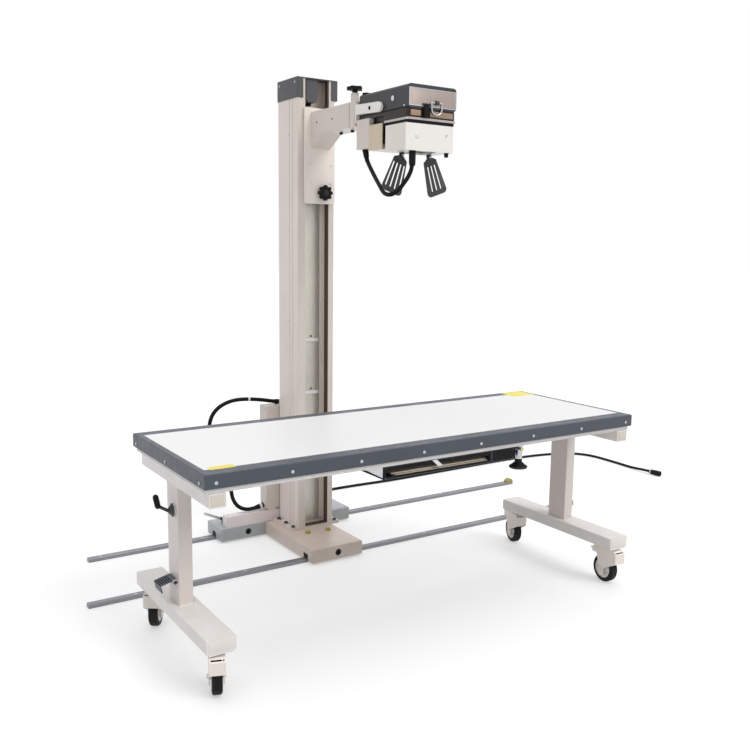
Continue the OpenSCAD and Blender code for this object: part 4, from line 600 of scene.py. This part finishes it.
ARM_SCREW = [(0, -0.4), (2, -0.4), (2.4, 0.8), (4.2, 0.8), (4.8, 0), (4.8, -2), (0, -2)]
TINE_HOLE = [(0, -5.4), (6.8, -5.4), (6.8, 0.3), (8.6, 0.3), (8.6, -0.4)]
SIDE_BUTTON = [(0, 1.4), (9, 1.2), (11, 0.2), (11.4, -0.4), (0, -0.4)]
FRONT_BOSS = [(0, 3.4), (7, 3.4), (9.6, 2.2), (10.4, 0), (10.4, -0.4), (0, -0.4)]
BOX_SCREW = [(0, 0.5), (2, 0.5), (2.4, 1.4), (4.4, 1.4), (5.4, 0.6), (5.4, -0.4), (0, -0.4)]
STUB_BOOT = [(0, 17.6), (6.6, 17.6), (8.8, 15), (8.8, 4), (10, 3), (10, -0.5), (0, -0.5)]


def tube(name, points, radius, material, body):
    """A cord as one spline of given radius in metres."""
    curve = bpy.data.curves.new(name, "CURVE")
    curve.dimensions = "3D"
    spline = curve.splines.new("NURBS")
    spline.points.add(len(points) - 1)
    for target, point in zip(spline.points, points):
        target.co = (*point, 1)
    spline.use_endpoint_u = True
    spline.order_u = 3
    spline.resolution_u = 6
    curve.bevel_depth = radius
    curve.bevel_resolution = 4
    curve.use_fill_caps = True
    return add_piece(name, curve, material, body)


# Cords: the same routes as the drawing's
loop_route = [at(*p) for p in (
    (0, 1108, 695), (-40, 1108, 701), (-91, 1109, 712), (-158, 1110, 721), (-214, 1110, 725),
    (-268, 1110, 720), (-320, 1110, 701), (-356, 1110, 671), (-376, 1110, 634), (-382, 1110, 590),
    (-374, 1110, 530), (-352, 1110, 460), (-322, 1110, 385), (-290, 1110, 315), (-268, 1110, 256),
    (-264, 1109, 222), (-252, 1107, 190), (-230, 1104, 163), (-196, 1100, 146), (-156, 1098, 144),
    (-116, 1096, 152))]
hose_route = [at(*p) for p in (
    (74, 396, 1900), (73, 386, 1872), (67, 352, 1840), (58, 310, 1808), (49, 270, 1778),
    (40, 230, 1752), (33, 194, 1724), (30, 160, 1713), (36, 134, 1713), (50, 113, 1726),
    (68, 101, 1754), (90, 92, 1788), (102, 87, 1822), (102, 87, 1858))]
cable_route = [at(*p) for p in (
    (180, 1161, 200), (180, 1200, 200), (180, 1240, 190), (180, 1276, 168), (181, 1306, 138),
    (184, 1332, 104), (189, 1356, 70), (198, 1382, 38), (212, 1414, 15), (234, 1450, 9),
    (268, 1494, 9), (314, 1534, 9), (380, 1570, 9), (460, 1592, 9), (560, 1601, 9), (700, 1604, 9),
    (850, 1600, 9), (1005, 1591, 9), (1180, 1592, 9), (1360, 1599, 9), (1544, 1605, 9),
    (1730, 1611, 9), (1910, 1617, 9), (2080, 1619, 9), (2220, 1616, 9), (2350, 1601, 9),
    (2460, 1578, 9), (2550, 1546, 9), (2620, 1500, 9), (2664, 1440, 9), (2682, 1370, 9),
    (2685, 1290, 9), (2681, 1200, 9), (2675, 1110, 9), (2668, 1030, 9), (2662, 960, 13),
    (2660, 905, 18), (2662, 860, 18))]

supply = tube("supply_cable_line", cable_route, 0.0085, hose_rubber, "trolley")
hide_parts("supply_cable")
loop = tube("service_loop_line", loop_route, 0.010, hose_rubber, "trolley")
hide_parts("service_loop")
hose = tube("head_hose_line", hose_route, 0.009, hose_rubber, "head")
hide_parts("head_hose")

# Smooth faces and soft edges of the CAD nodes
for node in nodes.values():
    smooth(node.data, angle=34)
# The width in millimetres of the rounding that lets an edge catch the light
SOFT_EDGES = {
    1.2: "edge_frame subframe leg_left leg_right column_base cable_duct control_box arm yoke"
         " trolley_frame tray_frame column_cap rear_box collimator",
    0.8: "top_panel carriage head_case floor_rails rail_stops pulley_block counterweight",
    0.5: "slide_rails tray_brackets tray_slats column_liner slot_strip brake_pedal head_latch"
         " flap_left flap_right brake_front_left brake_front_right",
}
for width, names in SOFT_EDGES.items():
    for name in names.split():
        bevel = nodes[name].modifiers.new("soft_edge", "BEVEL")
        bevel.width = width * MM
        bevel.segments = 2
        bevel.limit_method = "ANGLE"
        bevel.angle_limit = math.radians(50)
        bevel.harden_normals = True


# Details
def table_top():
    """Two yellow films, the seam round the panel and the trim below the edge profile."""
    panel = Box("top_panel")
    low, high = panel.top - 0.2, panel.top + 0.5
    films = ((-955, -307, -867, -271), (857, 247, 985, 357))
    blocks("top_films", [((left, front, low), (right, back, high)) for left, front, right, back in films],
           yellow, "table", "olive_plastic", r=0.2)
    out = 1.9
    seam = border(panel.left - out, panel.front - out, panel.right + out, panel.back + out,
                  width=2.7, bottom=panel.top - 0.4, top=panel.top + 0.4)
    blocks("panel_seam", seam, zinc, "table", "zinc_steel", r=0.2)
    rim = Box("subframe")
    low, high = rim.bottom + 1, rim.bottom + 4.5
    out, sunk = 1.6, 0.4
    front_strip = ((rim.left + 5, rim.front - out, low), (rim.right - 5, rim.front + sunk, high))
    left_strip = ((rim.left - out, rim.front + 4, low), (rim.left + sunk, rim.back - 4, high))
    blocks("subframe_trim", [front_strip, left_strip], zinc, "table", "zinc_steel", r=0.4)


def end_plugs(name, x, half, front, back, low, high, material):
    """Plugs in the two open ends of a beam, smaller than the beam all round."""
    inset, gap, depth = 7, 0.2, 2.4
    depths = ((front + gap, front + depth), (back - depth, back - gap))
    blocks(name, [((x - half + inset, near, low + inset), (x + half - inset, far, high - inset))
                  for near, far in depths], material, "table", "cream_paint", r=0.9)


def leg(tag):
    """The plugs of a leg's two beams and the welds at both ends of its post."""
    beam = Box("leg_" + tag)
    x, beam_half = beam.mid_x, (beam.right - beam.left) / 2
    cross_half, cross_front, cross_back = 31, -352, 316
    end_plugs("beam_plugs_" + tag, x, beam_half, beam.front, beam.back, BEAM_LOW, BEAM_TOP, leg_paint)
    end_plugs("cross_plugs_" + tag, x, cross_half, cross_front, cross_back, CROSS_LOW, CROSS_TOP, ivory)
    post_half_x, post_half_y = 27, 53
    near, far = post_half_y - 0.6, post_half_y + 1.5
    heights = ((BEAM_TOP - 0.6, BEAM_TOP + 3), (CROSS_LOW - 3.5, CROSS_LOW + 0.6))
    welds = [((x - post_half_x, front, low), (x + post_half_x, back, high))
             for low, high in heights for front, back in ((-far, -near), (near, far))]
    blocks("post_welds_" + tag, welds, leg_paint, "table", "cream_paint", r=1.0)


def casters():
    """The swivels' races, the axles' nuts, the rings on the wheels and one brass bolt."""
    race_z, axle_half, disc_half = 163.6, 30, 12.9
    races = copies(band(25.2, 28, -1, 2.6), [(x, y, race_z) for x, y, angle in CASTERS.values()], UP)
    lathes("caster_races", races, zinc, "table", "zinc_steel", 32)
    for name in CASTERS:
        axle, direction = caster_axle(name)
        nuts = []
        rings = []
        for way in (-1, 1):
            outward = Vector(direction) * way
            nuts.append((AXLE_NUT, at(*axle) + outward * axle_half * MM, outward))
            for inner, outer in ((20, 23.2), (40.2, 43)):
                rings.append((ridge(inner, outer), at(*axle) + outward * disc_half * MM, outward))
        lathes("axle_nuts_" + name, nuts, zinc, "fork_" + name, "zinc_steel")
        lathes("disc_rings_" + name, rings, pale, "wheel_" + name, "tyre_rubber", 48)
    x, y, angle = CASTERS["front_right"]
    lathes("caster_bolt", [(CASTER_BOLT, at(x - 40, y + 36, 170.9), DOWN)], brass, "table", "zinc_steel")


def hand_lever():
    """The seat round the lever's hub and the rings of its grip."""
    y = Box("hand_lever").mid_y
    lathes("lever_hub", [(LEVER_SEAT, at(-978.3, y, 572), LEFT)], chrome, "height_lever", "slate_paint", 32)
    lean = math.radians(12)
    along = Vector((-math.sin(lean), 0, math.cos(lean)))
    start = at(-1036, y, 594)
    rings = [(band(9.7, 10.6, -0.6, 0.6), start + along * reach * MM, along) for reach in range(4, 30, 5)]
    lathes("lever_grip_rings", rings, black, "height_lever", "black_plastic", 28)


def foot_pedal():
    """The ribs across the sloping tread and a washer at each end of the hinge."""
    pedal = Box("brake_pedal")
    slope = math.radians(14)
    hinge_x, tread_z = -987, 320.6
    ribs = []
    for k in range(6):
        reach = 14 + 8 * k
        x, z = hinge_x - reach * math.cos(slope), tread_z - reach * math.sin(slope)
        ribs.append(((x - 2, pedal.front + 4, z), (x + 2, pedal.back - 4, z + 2.6)))
    blocks("pedal_ribs", ribs, tyre, "foot_pedal", "slate_paint", r=0.8)
    washer = pan_head(7, 2.4)
    lathes("pedal_washers", [(washer, at(-987.3, pedal.front - 5.8, 312), FRONT),
                             (washer, at(-987.3, pedal.back + 5.8, 312), BACK)], iron, "table", "zinc_steel")


def image_tray():
    """What lies on the tray's front bar, and the lines between its slats."""
    tray = Box("tray_frame")
    bar_low, bar_top = tray.bottom, Box("tray_brackets").top
    split_x = 206
    brace = bmesh.new()
    for y in (tray.front - 2.4, tray.front - 0.2):
        for x, z in ((-88, 709), (-66, 709), (-38, 684), (-60, 684)):
            brace.verts.new(at(x, y, z))
    bmesh.ops.convex_hull(brace, input=brace.verts[:])
    place("tray_brace", brace, white_plastic, "tray", "cream_paint")
    spots = [(x, z) for x in (tray.left + 8, split_x, tray.right - 13) for z in (bar_top - 6, bar_low + 6)]
    spots.append((10, bar_top - 5))
    lathes("tray_screws", copies(pan_head(4.2, 2.0), [(x, tray.front + 0.1, z) for x, z in spots], FRONT),
           iron, "tray", "zinc_steel", 20)
    near, far, width = tray.front - 0.9, tray.front + 0.2, 2.4
    blocks("tray_front_trim", [((tray.left, near, bar_top - width), (tray.right, far, bar_top)),
                               ((tray.left, near, bar_low), (tray.right, far, bar_low + width)),
                               ((split_x - 2, near, bar_low), (split_x + 2, far, bar_top))],
           slate, "tray", "black_plastic", r=0.4)
    slats = Box("tray_slats")
    lines = []
    for k in (1, 2, 3):
        x, y, z = slats.left - 7 + 12 * k, slats.front - 0.6 + 14 * k, slats.bottom - 0.2 + 6.5 * k
        lines.append(((x, y, z), (slats.right, y + 1, z + 1.2)))
    blocks("slat_lines", lines, dark, "tray", "beige_panel", r=0.3)


def tray_clamp():
    """The bolt beside the clamp's post, the post's rings and the rims of its knob."""
    bolt = at(353, Box("tray_brackets").front - 0.2, 701)
    lathes("tray_bolt", [(TRAY_BOLT, bolt, FRONT)], brass, "tray", "zinc_steel")
    knob = Box("tray_knob")
    rings = copies(band(15, 15.8, -1.2, 1.2), [(knob.mid_x, knob.mid_y, z) for z in (700, 664, 658)], UP)
    lathes("clamp_rings", rings, zinc, "tray", "zinc_steel", 28)
    rims = copies(KNOB_RIM, [(knob.mid_x, knob.mid_y, z) for z in (618, 621)], UP)
    lathes("clamp_knob_rim", rims, iron, "tray_lock", "black_plastic", 48)


def floor_rails():
    """The rails' screws, at an even pitch from the right end, and one screw on each stop."""
    rails, stops = Box("floor_rails"), Box("rail_stops")
    rail_ys = (rails.front + 15.5, rails.back - 15.5)
    first_x, pitch = rails.right - 60, 511
    spots = [(first_x - pitch * k, y, rails.top) for y in rail_ys for k in range(6)]
    lathes("rail_screws", copies(RAIL_SCREW, spots, UP), zinc, "base_rails", "zinc_steel")
    spots = [(stops.mid_x, y, stops.top - 0.2) for y in rail_ys]
    lathes("stop_screws", copies(pan_head(4.5, 1.6), spots, UP), zinc, "base_rails", "zinc_steel")


def trolley():
    """The casing's two round sockets, its bolts and seam, and the screws of the caps and the duct."""
    casing, caps, duct = Box("trolley_frame"), Box("trolley_caps"), Box("cable_duct")
    bar_top = duct.bottom
    sockets = ((44, casing.front, 40.05), (-196, BAR_FRONT, 40.05))
    lathes("socket_rings", copies(SOCKET_RING, sockets, FRONT), iron, "trolley", "black_plastic", 32)
    lathes("socket_ends", copies(SOCKET_END, sockets, FRONT), iron, "trolley", "black_plastic", 32)
    corners = [(x, y, bar_top) for x in (casing.left + 15, casing.right - 15)
               for y in (BAR_FRONT + 16, casing.back - 16)]
    lathes("trolley_bolts", copies(pan_head(6, 3.6), corners, UP), zinc, "trolley", "zinc_steel")
    lathes("cap_screws", copies(pan_head(4, 1.4), [(3, 790, caps.top), (112, 778, caps.top)], UP),
           brass, "trolley", "olive_plastic")
    blocks("bar_seam", [((-98.5, BAR_FRONT - 1.4, bar_top - 0.4), (179.5, BAR_FRONT + 0.6, bar_top + 0.4))],
           iron, "trolley", "cream_paint", r=0.3)
    spots = [(x, 1092, duct.top) for x in (-296, -206, -116, -26, 64, 160)]
    lathes("duct_screws", copies(pan_head(4.5, 2.2), spots, UP), zinc, "trolley", "zinc_steel")


def lock_lever():
    """The lever's hollow tip, its collar, and the two heads of the pin that it turns on."""
    pin_x, pin_y, pin_z = -290, Box("trolley_lever").mid_y, 95
    lean = math.radians(24)
    along = Vector((-math.cos(lean), 0, math.sin(lean)))
    hub = at(pin_x, pin_y, pin_z)
    lathes("lever_tip", [(LEVER_TIP, hub + along * 112 * MM, along)], zinc, "lock_lever", "zinc_steel")
    lathes("lever_collar", [(band(7, 8.6, -3, 3), hub + along * 22 * MM, along)],
           black, "lock_lever", "black_plastic")
    pin_half = 15.5
    lathes("lock_pin_heads", [(pan_head(6.5, 2.6), at(pin_x, pin_y - pin_half, pin_z), FRONT),
                              (pan_head(6.5, 2.6), at(pin_x, pin_y + pin_half, pin_z), BACK)],
           iron, "trolley", "zinc_steel")


def control_box():
    """The screws of the cover on the back and of both sides."""
    left, right, back = -92, Box("control_box").right, 1137
    head = pan_head(4.6, 2.2)
    cover = copies(head, [(x, back, z) for x in (left + 8, right - 8) for z in (154, 330, 500, 674)], BACK)
    sides = both_sides(head, left, right, ys=(1076, 1126), zs=(160, 414, 668))
    lathes("box_screws", cover + sides, zinc, "trolley", "zinc_steel")


def gland(name, start, after, body, share):
    """A tapered strain relief over the end of a cord, whose next point comes after the start."""
    inward = (start - after).normalized()
    lathes(name, [([(r * share, h) for r, h in BOOT], start, inward)], black, body, "black_plastic", 28)


def cord_ends():
    """The glands, the hose's collar, the loop's tie, and the connector's ring and pins."""
    gland("loop_gland_top", loop_route[0], loop_route[1], "trolley", 0.86)
    gland("loop_gland_low", loop_route[-1], loop_route[-2], "trolley", 0.86)
    gland("cable_gland", cable_route[0], cable_route[1], "trolley", 0.92)
    gland("hose_gland_rear", hose_route[0], hose_route[1], "head", 0.82)
    lathes("hose_collar", [(HOSE_COLLAR, hose_route[-1], UP)], black, "head", "black_plastic", 28)
    lathes("loop_tie", [(band(9.8, 11.4, -5, 5), at(-166, 1110, 721.5), (-1, 0, 0.06))],
           white_plastic, "trolley", "black_rubber")
    end = cable_route[-1]
    lathes("plug_ring", [(PLUG_RING, end, FRONT)], zinc, "trolley", "zinc_steel", 32)
    pins = [(PLUG_PIN, end + Vector((x, 0, z)) * MM, FRONT)
            for x, z in ((6, 0), (-6, 0), (0, 6), (0, -6), (0, 0))]
    lathes("plug_pins", pins, brass, "trolley", "zinc_steel", 12)


def column_details():
    """Screws of the column, its cap and its pulley, the strips in its slot, which are painted light on the
    slot's shaded walls, the bands in its slot, the base's washers.
    """
    heights = (2025, 1574, 1128, 677, 225)
    screws = both_sides(pan_head(5.5, 3), column.left, column.right, ys=(948,), zs=heights)
    lathes("column_screws", screws, white_plastic, "trolley", "zinc_steel")
    cap = Box("column_cap")
    screws = both_sides(pan_head(5, 2.4), cap.left, cap.right, ys=(878, 1036), zs=(cap.top - 22,))
    lathes("cap_side_screws", screws, zinc, "trolley", "zinc_steel")
    liner = Box("column_liner")
    low, high = liner.bottom + 5, liner.top - 5
    # Bright cream strips on the shaded walls of the slot, which are painted light
    blocks("liner_painted_light_strips", [((liner.left + 0.2, 921.6, low), (liner.left + 5, 923.4, high)),
                            ((139, 918.9, low), (166, 921.9, high))],
           bright_cream, "trolley", "cream_paint", r=0.4)
    band_left, band_right, band_zs = 50, 132, (757, 1024)
    blocks("liner_bands", [((band_left, 913.2, z), (band_right, 918.6, z + 16)) for z in band_zs],
           white_plastic, "trolley", "cream_paint", r=0.4)
    dots = [((band_left + band_right) / 2, 918.2, z + 27) for z in band_zs]
    lathes("clip_dots", copies(stud(3.6, 4.6, 1.2, 0, -0.5), dots, FRONT), black, "trolley", "black_plastic")
    cheeks = Box("pulley_block")
    axle_y, axle_z = 928.5, 2232
    bolts = both_sides(pan_head(9, 4.5), cheeks.left, cheeks.right, ys=(axle_y,), zs=(axle_z,))
    lathes("pulley_bolts", bolts, zinc, "trolley", "zinc_steel")
    spots = [(x, 871 + 78 * k, 89) for x in (-37.5, 203.5) for k in range(3)]
    lathes("anchor_washers", copies(ANCHOR_WASHER, spots, UP), zinc, "trolley", "zinc_steel", 32)


def carriage_and_knobs():
    """The carriage plate's screws, at shares of its width and height, and the knobs' inserts."""
    plate = Box("carriage")
    width, height = plate.right - plate.left, plate.top - plate.bottom
    shares = ((0.2, 0.07), (0.2, 0.22), (0.2, 0.415), (0.88, 0.07), (0.88, 0.22), (0.88, 0.41))
    spots = [(plate.left + width * x, plate.front, plate.bottom + height * z) for x, z in shares]
    lathes("plate_screws", copies(PLATE_SCREW, spots, FRONT), white_plastic, "carriage_arm", "cream_paint")
    lobe, star, clamp = Box("carriage_knob"), Box("arm_knob"), Box("arm_clamp")
    lathes("lobe_centre", [(stud(11, 13.4, 1.6, 0.4, -0.6), at(lobe.mid_x, lobe.front, lobe.mid_z), FRONT)],
           bronze, "carriage_lock", "black_plastic", 32)
    lathes("star_centre", [(stud(9, 11, 2, 0.6, -0.4), at(70, star.mid_y, 2193.2), UP)],
           dark, "swivel_lock", "black_plastic", 32)
    lathes("clamp_centre", [(stud(5.6, 7, 1.4, 0.2, -0.4), at(clamp.mid_x, clamp.mid_y, 2172.2), UP)],
           bronze, "swivel_clamp", "black_plastic")


def arm_details():
    """Two screws in the arm's side, the washers under it, and the seam of its end piece."""
    arm = Box("arm")
    lathes("arm_side_screws", copies(ARM_SCREW, [(arm.left, y, 2072) for y in (641.5, 782.3)], LEFT),
           iron, "carriage_arm", "black_plastic")
    washers = copies(band(8.2, 12, -0.6, 1.8), [(arm.mid_x, y, ARM_FLOOR) for y in (547.7, 645.4)], DOWN)
    lathes("arm_bolt_washers", washers, zinc, "carriage_arm", "zinc_steel")
    near, far = 490, 491.6
    blocks("arm_end_seam", [((arm.left - 0.6, near, ARM_FLOOR + 0.5), (arm.left + 0.2, far, 2125.5)),
                            ((arm.left + 0.5, near, 2125.4), (arm.right - 0.5, far, 2126.4))],
           iron, "carriage_arm", "cream_paint", r=0.2)


def yoke_details():
    """The hole in the yoke's left tine, the bracket behind the head, and the screws."""
    hole = at(Box("yoke").left, 327, 2082.3)
    lathes("tine_hole", [(TINE_HOLE, hole, LEFT)], black, "head", "black_plastic")
    left, right, front, low = 66, 118, 433.2, 2004
    blocks("yoke_bracket", [((left, front, low), (right, front + 3, low + 32)),
                            ((left, front, low), (right, front + 10.3, low + 3.5))],
           black, "head", "black_plastic", r=0.8)
    bolts = copies(pan_head(5.4, 3.2), [(x, front, low + 18) for x in (left + 12, right - 12)], FRONT)
    lathes("bracket_bolts", bolts, zinc, "head", "zinc_steel")
    spots = [(x, 436, z) for x in (176, 290) for z in (2042, 2102)]
    lathes("yoke_screws", copies(pan_head(5, 3), spots, FRONT), iron, "head", "zinc_steel")


def head_case():
    """The case's buttons, screws and seams, the glossy plate on its front, coloured with a painted
    reflection, and the plate's rim, whose light blue is a painted highlight.
    """
    case = Box("head_case")
    buttons = both_sides(SIDE_BUTTON, case.left, case.right, ys=(172,), zs=(2103,))
    lathes("side_buttons", buttons, white_plastic, "head", "cream_paint", 32)
    head = pan_head(4.4, 2.0)
    top_screws = copies(head, [(x, y, case.top) for x in (84, 280) for y in (90, 404)], UP)
    side_screws = both_sides(head, case.left + 2, case.right - 2, ys=(90, 300, 410), zs=(2066,))
    lathes("case_screws", top_screws + side_screws, zinc, "head", "zinc_steel")
    near, far = 284, 285.4
    blocks("case_seams", [((75, near, case.top - 0.7), (289, far, case.top + 0.5)),
                          ((case.left + 1.4, near, 2070), (case.left + 2.3, far, 2136))],
           iron, "head", "dark_paint", r=0.2)
    left, right, low, high = 65, 299, 2065, 2134
    # The front plate's gradient is a painted reflection
    blocks("front_plate", [((left + 1.2, 62, low + 1.4), (right - 1.2, 63.3, high - 1.2))],
           front_painted_reflection, "head", "dark_paint", r=0.6)
    near, far, half = 61, 63.4, 1.4
    # The rim's light blue is a painted highlight on the front edges of the case
    blocks("plate_rim", [((left, near, high - 1.6), (right, far, high + 1.2)),
                         ((left, near, low - 1.1), (right, far, low + 1.6)),
                         ((left - half, near, low), (left + half, far, high)),
                         ((right - half, near, low), (right + half, far, high))],
           rim_highlight_blue, "head", "dark_paint", r=0.9)


def head_band():
    """The two tan windows of the dark band and the plate behind the latch."""
    near, far, low, high = 63.6, 67.3, 2026, 2049
    blocks("band_glass", [((75, near, low), (124.5, far, high)), ((171.5, near, low), (289.5, far, high))],
           tan_gloss, "head", "bronze_paint", r=1.0)
    blocks("latch_plate", [((136, 61.4, 2021), (160, 64.4, 2050))], black, "head", "black_plastic", r=0.8)


def collimator_details():
    """The boss and screws of the collimator, its stub, hinges and handle, and the trim of its window."""
    lathes("boss", [(FRONT_BOSS, at(104, 60, 1945), FRONT)], white_plastic, "head", "cream_paint", 32)
    width, height = collimator.right - collimator.left, collimator.top - BOX_FLOOR
    spots = [(collimator.left + width * x, collimator.front, BOX_FLOOR + height * z)
             for x, z in ((0.238, 0.495), (0.844, 0.636))]
    lathes("box_front_screws", copies(BOX_SCREW, spots, FRONT), zinc, "head", "zinc_steel")
    housing = Box("rear_box")
    screws = both_sides(pan_head(4.2, 1.4), housing.left, housing.right, ys=(309,), zs=(1932, 2006))
    lathes("side_plate_screws", screws, zinc, "head", "zinc_steel")
    lathes("stub_boot", [(STUB_BOOT, at(267, 75, BOX_FLOOR), DOWN)], black, "head", "black_plastic", 28)
    hinge_y, hinge_half = Box("flap_left").mid_y, 10.3
    caps = [(pan_head(4.4, 1.6), at(x, hinge_y + way * hinge_half, 1877), (0, way, 0))
            for x in (100, 240) for way in (-1, 1)]
    lathes("hinge_caps", caps, zinc, "head", "zinc_steel", 20)
    bail = Box("head_handle")
    spots = [(bail.mid_x + way * 10, bail.mid_y, bail.top - 4) for way in (-1, 1)]
    lathes("bail_rings", copies(band(4, 5.2, -1, 1), spots, RIGHT), dark, "bail", "dark_paint", 20)
    window = border(122, 87, 218, 183, width=3, bottom=BOX_FLOOR - 1.2, top=BOX_FLOOR + 0.2)
    blocks("beam_trim", window, iron, "head", "black_plastic", r=0.4)


table_top()
leg("left")
leg("right")
casters()
hand_lever()
foot_pedal()
image_tray()
tray_clamp()
floor_rails()
trolley()
lock_lever()
control_box()
cord_ends()
column_details()
carriage_and_knobs()
arm_details()
yoke_details()
head_case()
head_band()
collimator_details()


# Floor, backdrop and light
def larger(tree, a, b):
    node = tree.nodes.new("ShaderNodeMath")
    node.operation = "MAXIMUM"
    tree.links.new(a, node.inputs[0])
    tree.links.new(b, node.inputs[1])
    return node.outputs["Value"]


def seen_by(tree):
    """One for the rays of the camera, of gloss and of glass, and zero for the rest."""
    paths = tree.nodes.new("ShaderNodeLightPath").outputs
    mirrored = larger(tree, paths["Is Camera Ray"], paths["Is Glossy Ray"])
    return larger(tree, mirrored, paths["Is Transmission Ray"])


def white_floor():
    """A floor that the camera sees as nearly white, with soft shadows."""
    reach, z = 40, -0.0005
    mesh = bpy.data.meshes.new("floor")
    mesh.from_pydata([(-reach, -reach, z), (reach, -reach, z), (reach, reach, z), (-reach, reach, z)],
                     [], [(0, 1, 2, 3)])
    floor = add_object("floor", mesh)
    finish = Surface("studio_floor", rough=0.7)
    finish.shader.inputs["Base Color"].default_value = (0.62, 0.62, 0.62, 1)
    finish.shader.inputs["Emission Color"].default_value = (1, 1, 1, 1)
    glow = finish.tree.nodes.new("ShaderNodeMath")
    glow.operation = "MULTIPLY"
    glow.inputs[1].default_value = 0.42
    finish.link(seen_by(finish.tree), glow.inputs[0])
    finish.link(glow.outputs["Value"], finish.shader.inputs["Emission Strength"])
    mesh.materials.append(finish.mat)


def background(tree, colour, strength):
    node = tree.nodes.new("ShaderNodeBackground")
    node.inputs["Color"].default_value = (*colour, 1)
    node.inputs["Strength"].default_value = strength
    return node.outputs["Background"]


def white_world():
    """White behind the object, and a fainter cool light on it."""
    world = bpy.data.worlds.new("studio")
    bpy.context.scene.world = world
    world.use_nodes = True
    tree = world.node_tree
    tree.nodes.clear()
    output = tree.nodes.new("ShaderNodeOutputWorld")
    choice = tree.nodes.new("ShaderNodeMixShader")
    tree.links.new(seen_by(tree), choice.inputs["Fac"])
    tree.links.new(background(tree, (0.93, 0.96, 1), strength=0.42), choice.inputs[1])
    tree.links.new(background(tree, (1, 1, 1), strength=1), choice.inputs[2])
    tree.links.new(choice.outputs["Shader"], output.inputs["Surface"])


def lamp(name, out_of, strength, spread, colour=(1, 1, 1)):
    """A broad even light from one direction, with a soft edge to its shadows."""
    data = bpy.data.lights.new(name, "SUN")
    data.energy = strength
    data.angle = math.radians(spread)
    data.color = colour
    light = add_object(name, data)
    light.location = Vector(out_of) * 5
    light.rotation_euler = Vector(out_of).to_track_quat("Z", "Y").to_euler()


white_floor()
white_world()
lamp("key", out_of=(0.30, -0.70, 0.66), strength=1.25, spread=28, colour=(1, 0.97, 0.94))
lamp("top", out_of=(0.05, 0.05, 1), strength=1.05, spread=60)
lamp("fill", out_of=(-0.85, -0.15, 0.45), strength=0.34, spread=50, colour=(0.97, 0.98, 1))

view = bpy.context.scene.view_settings
view.view_transform = "Standard"
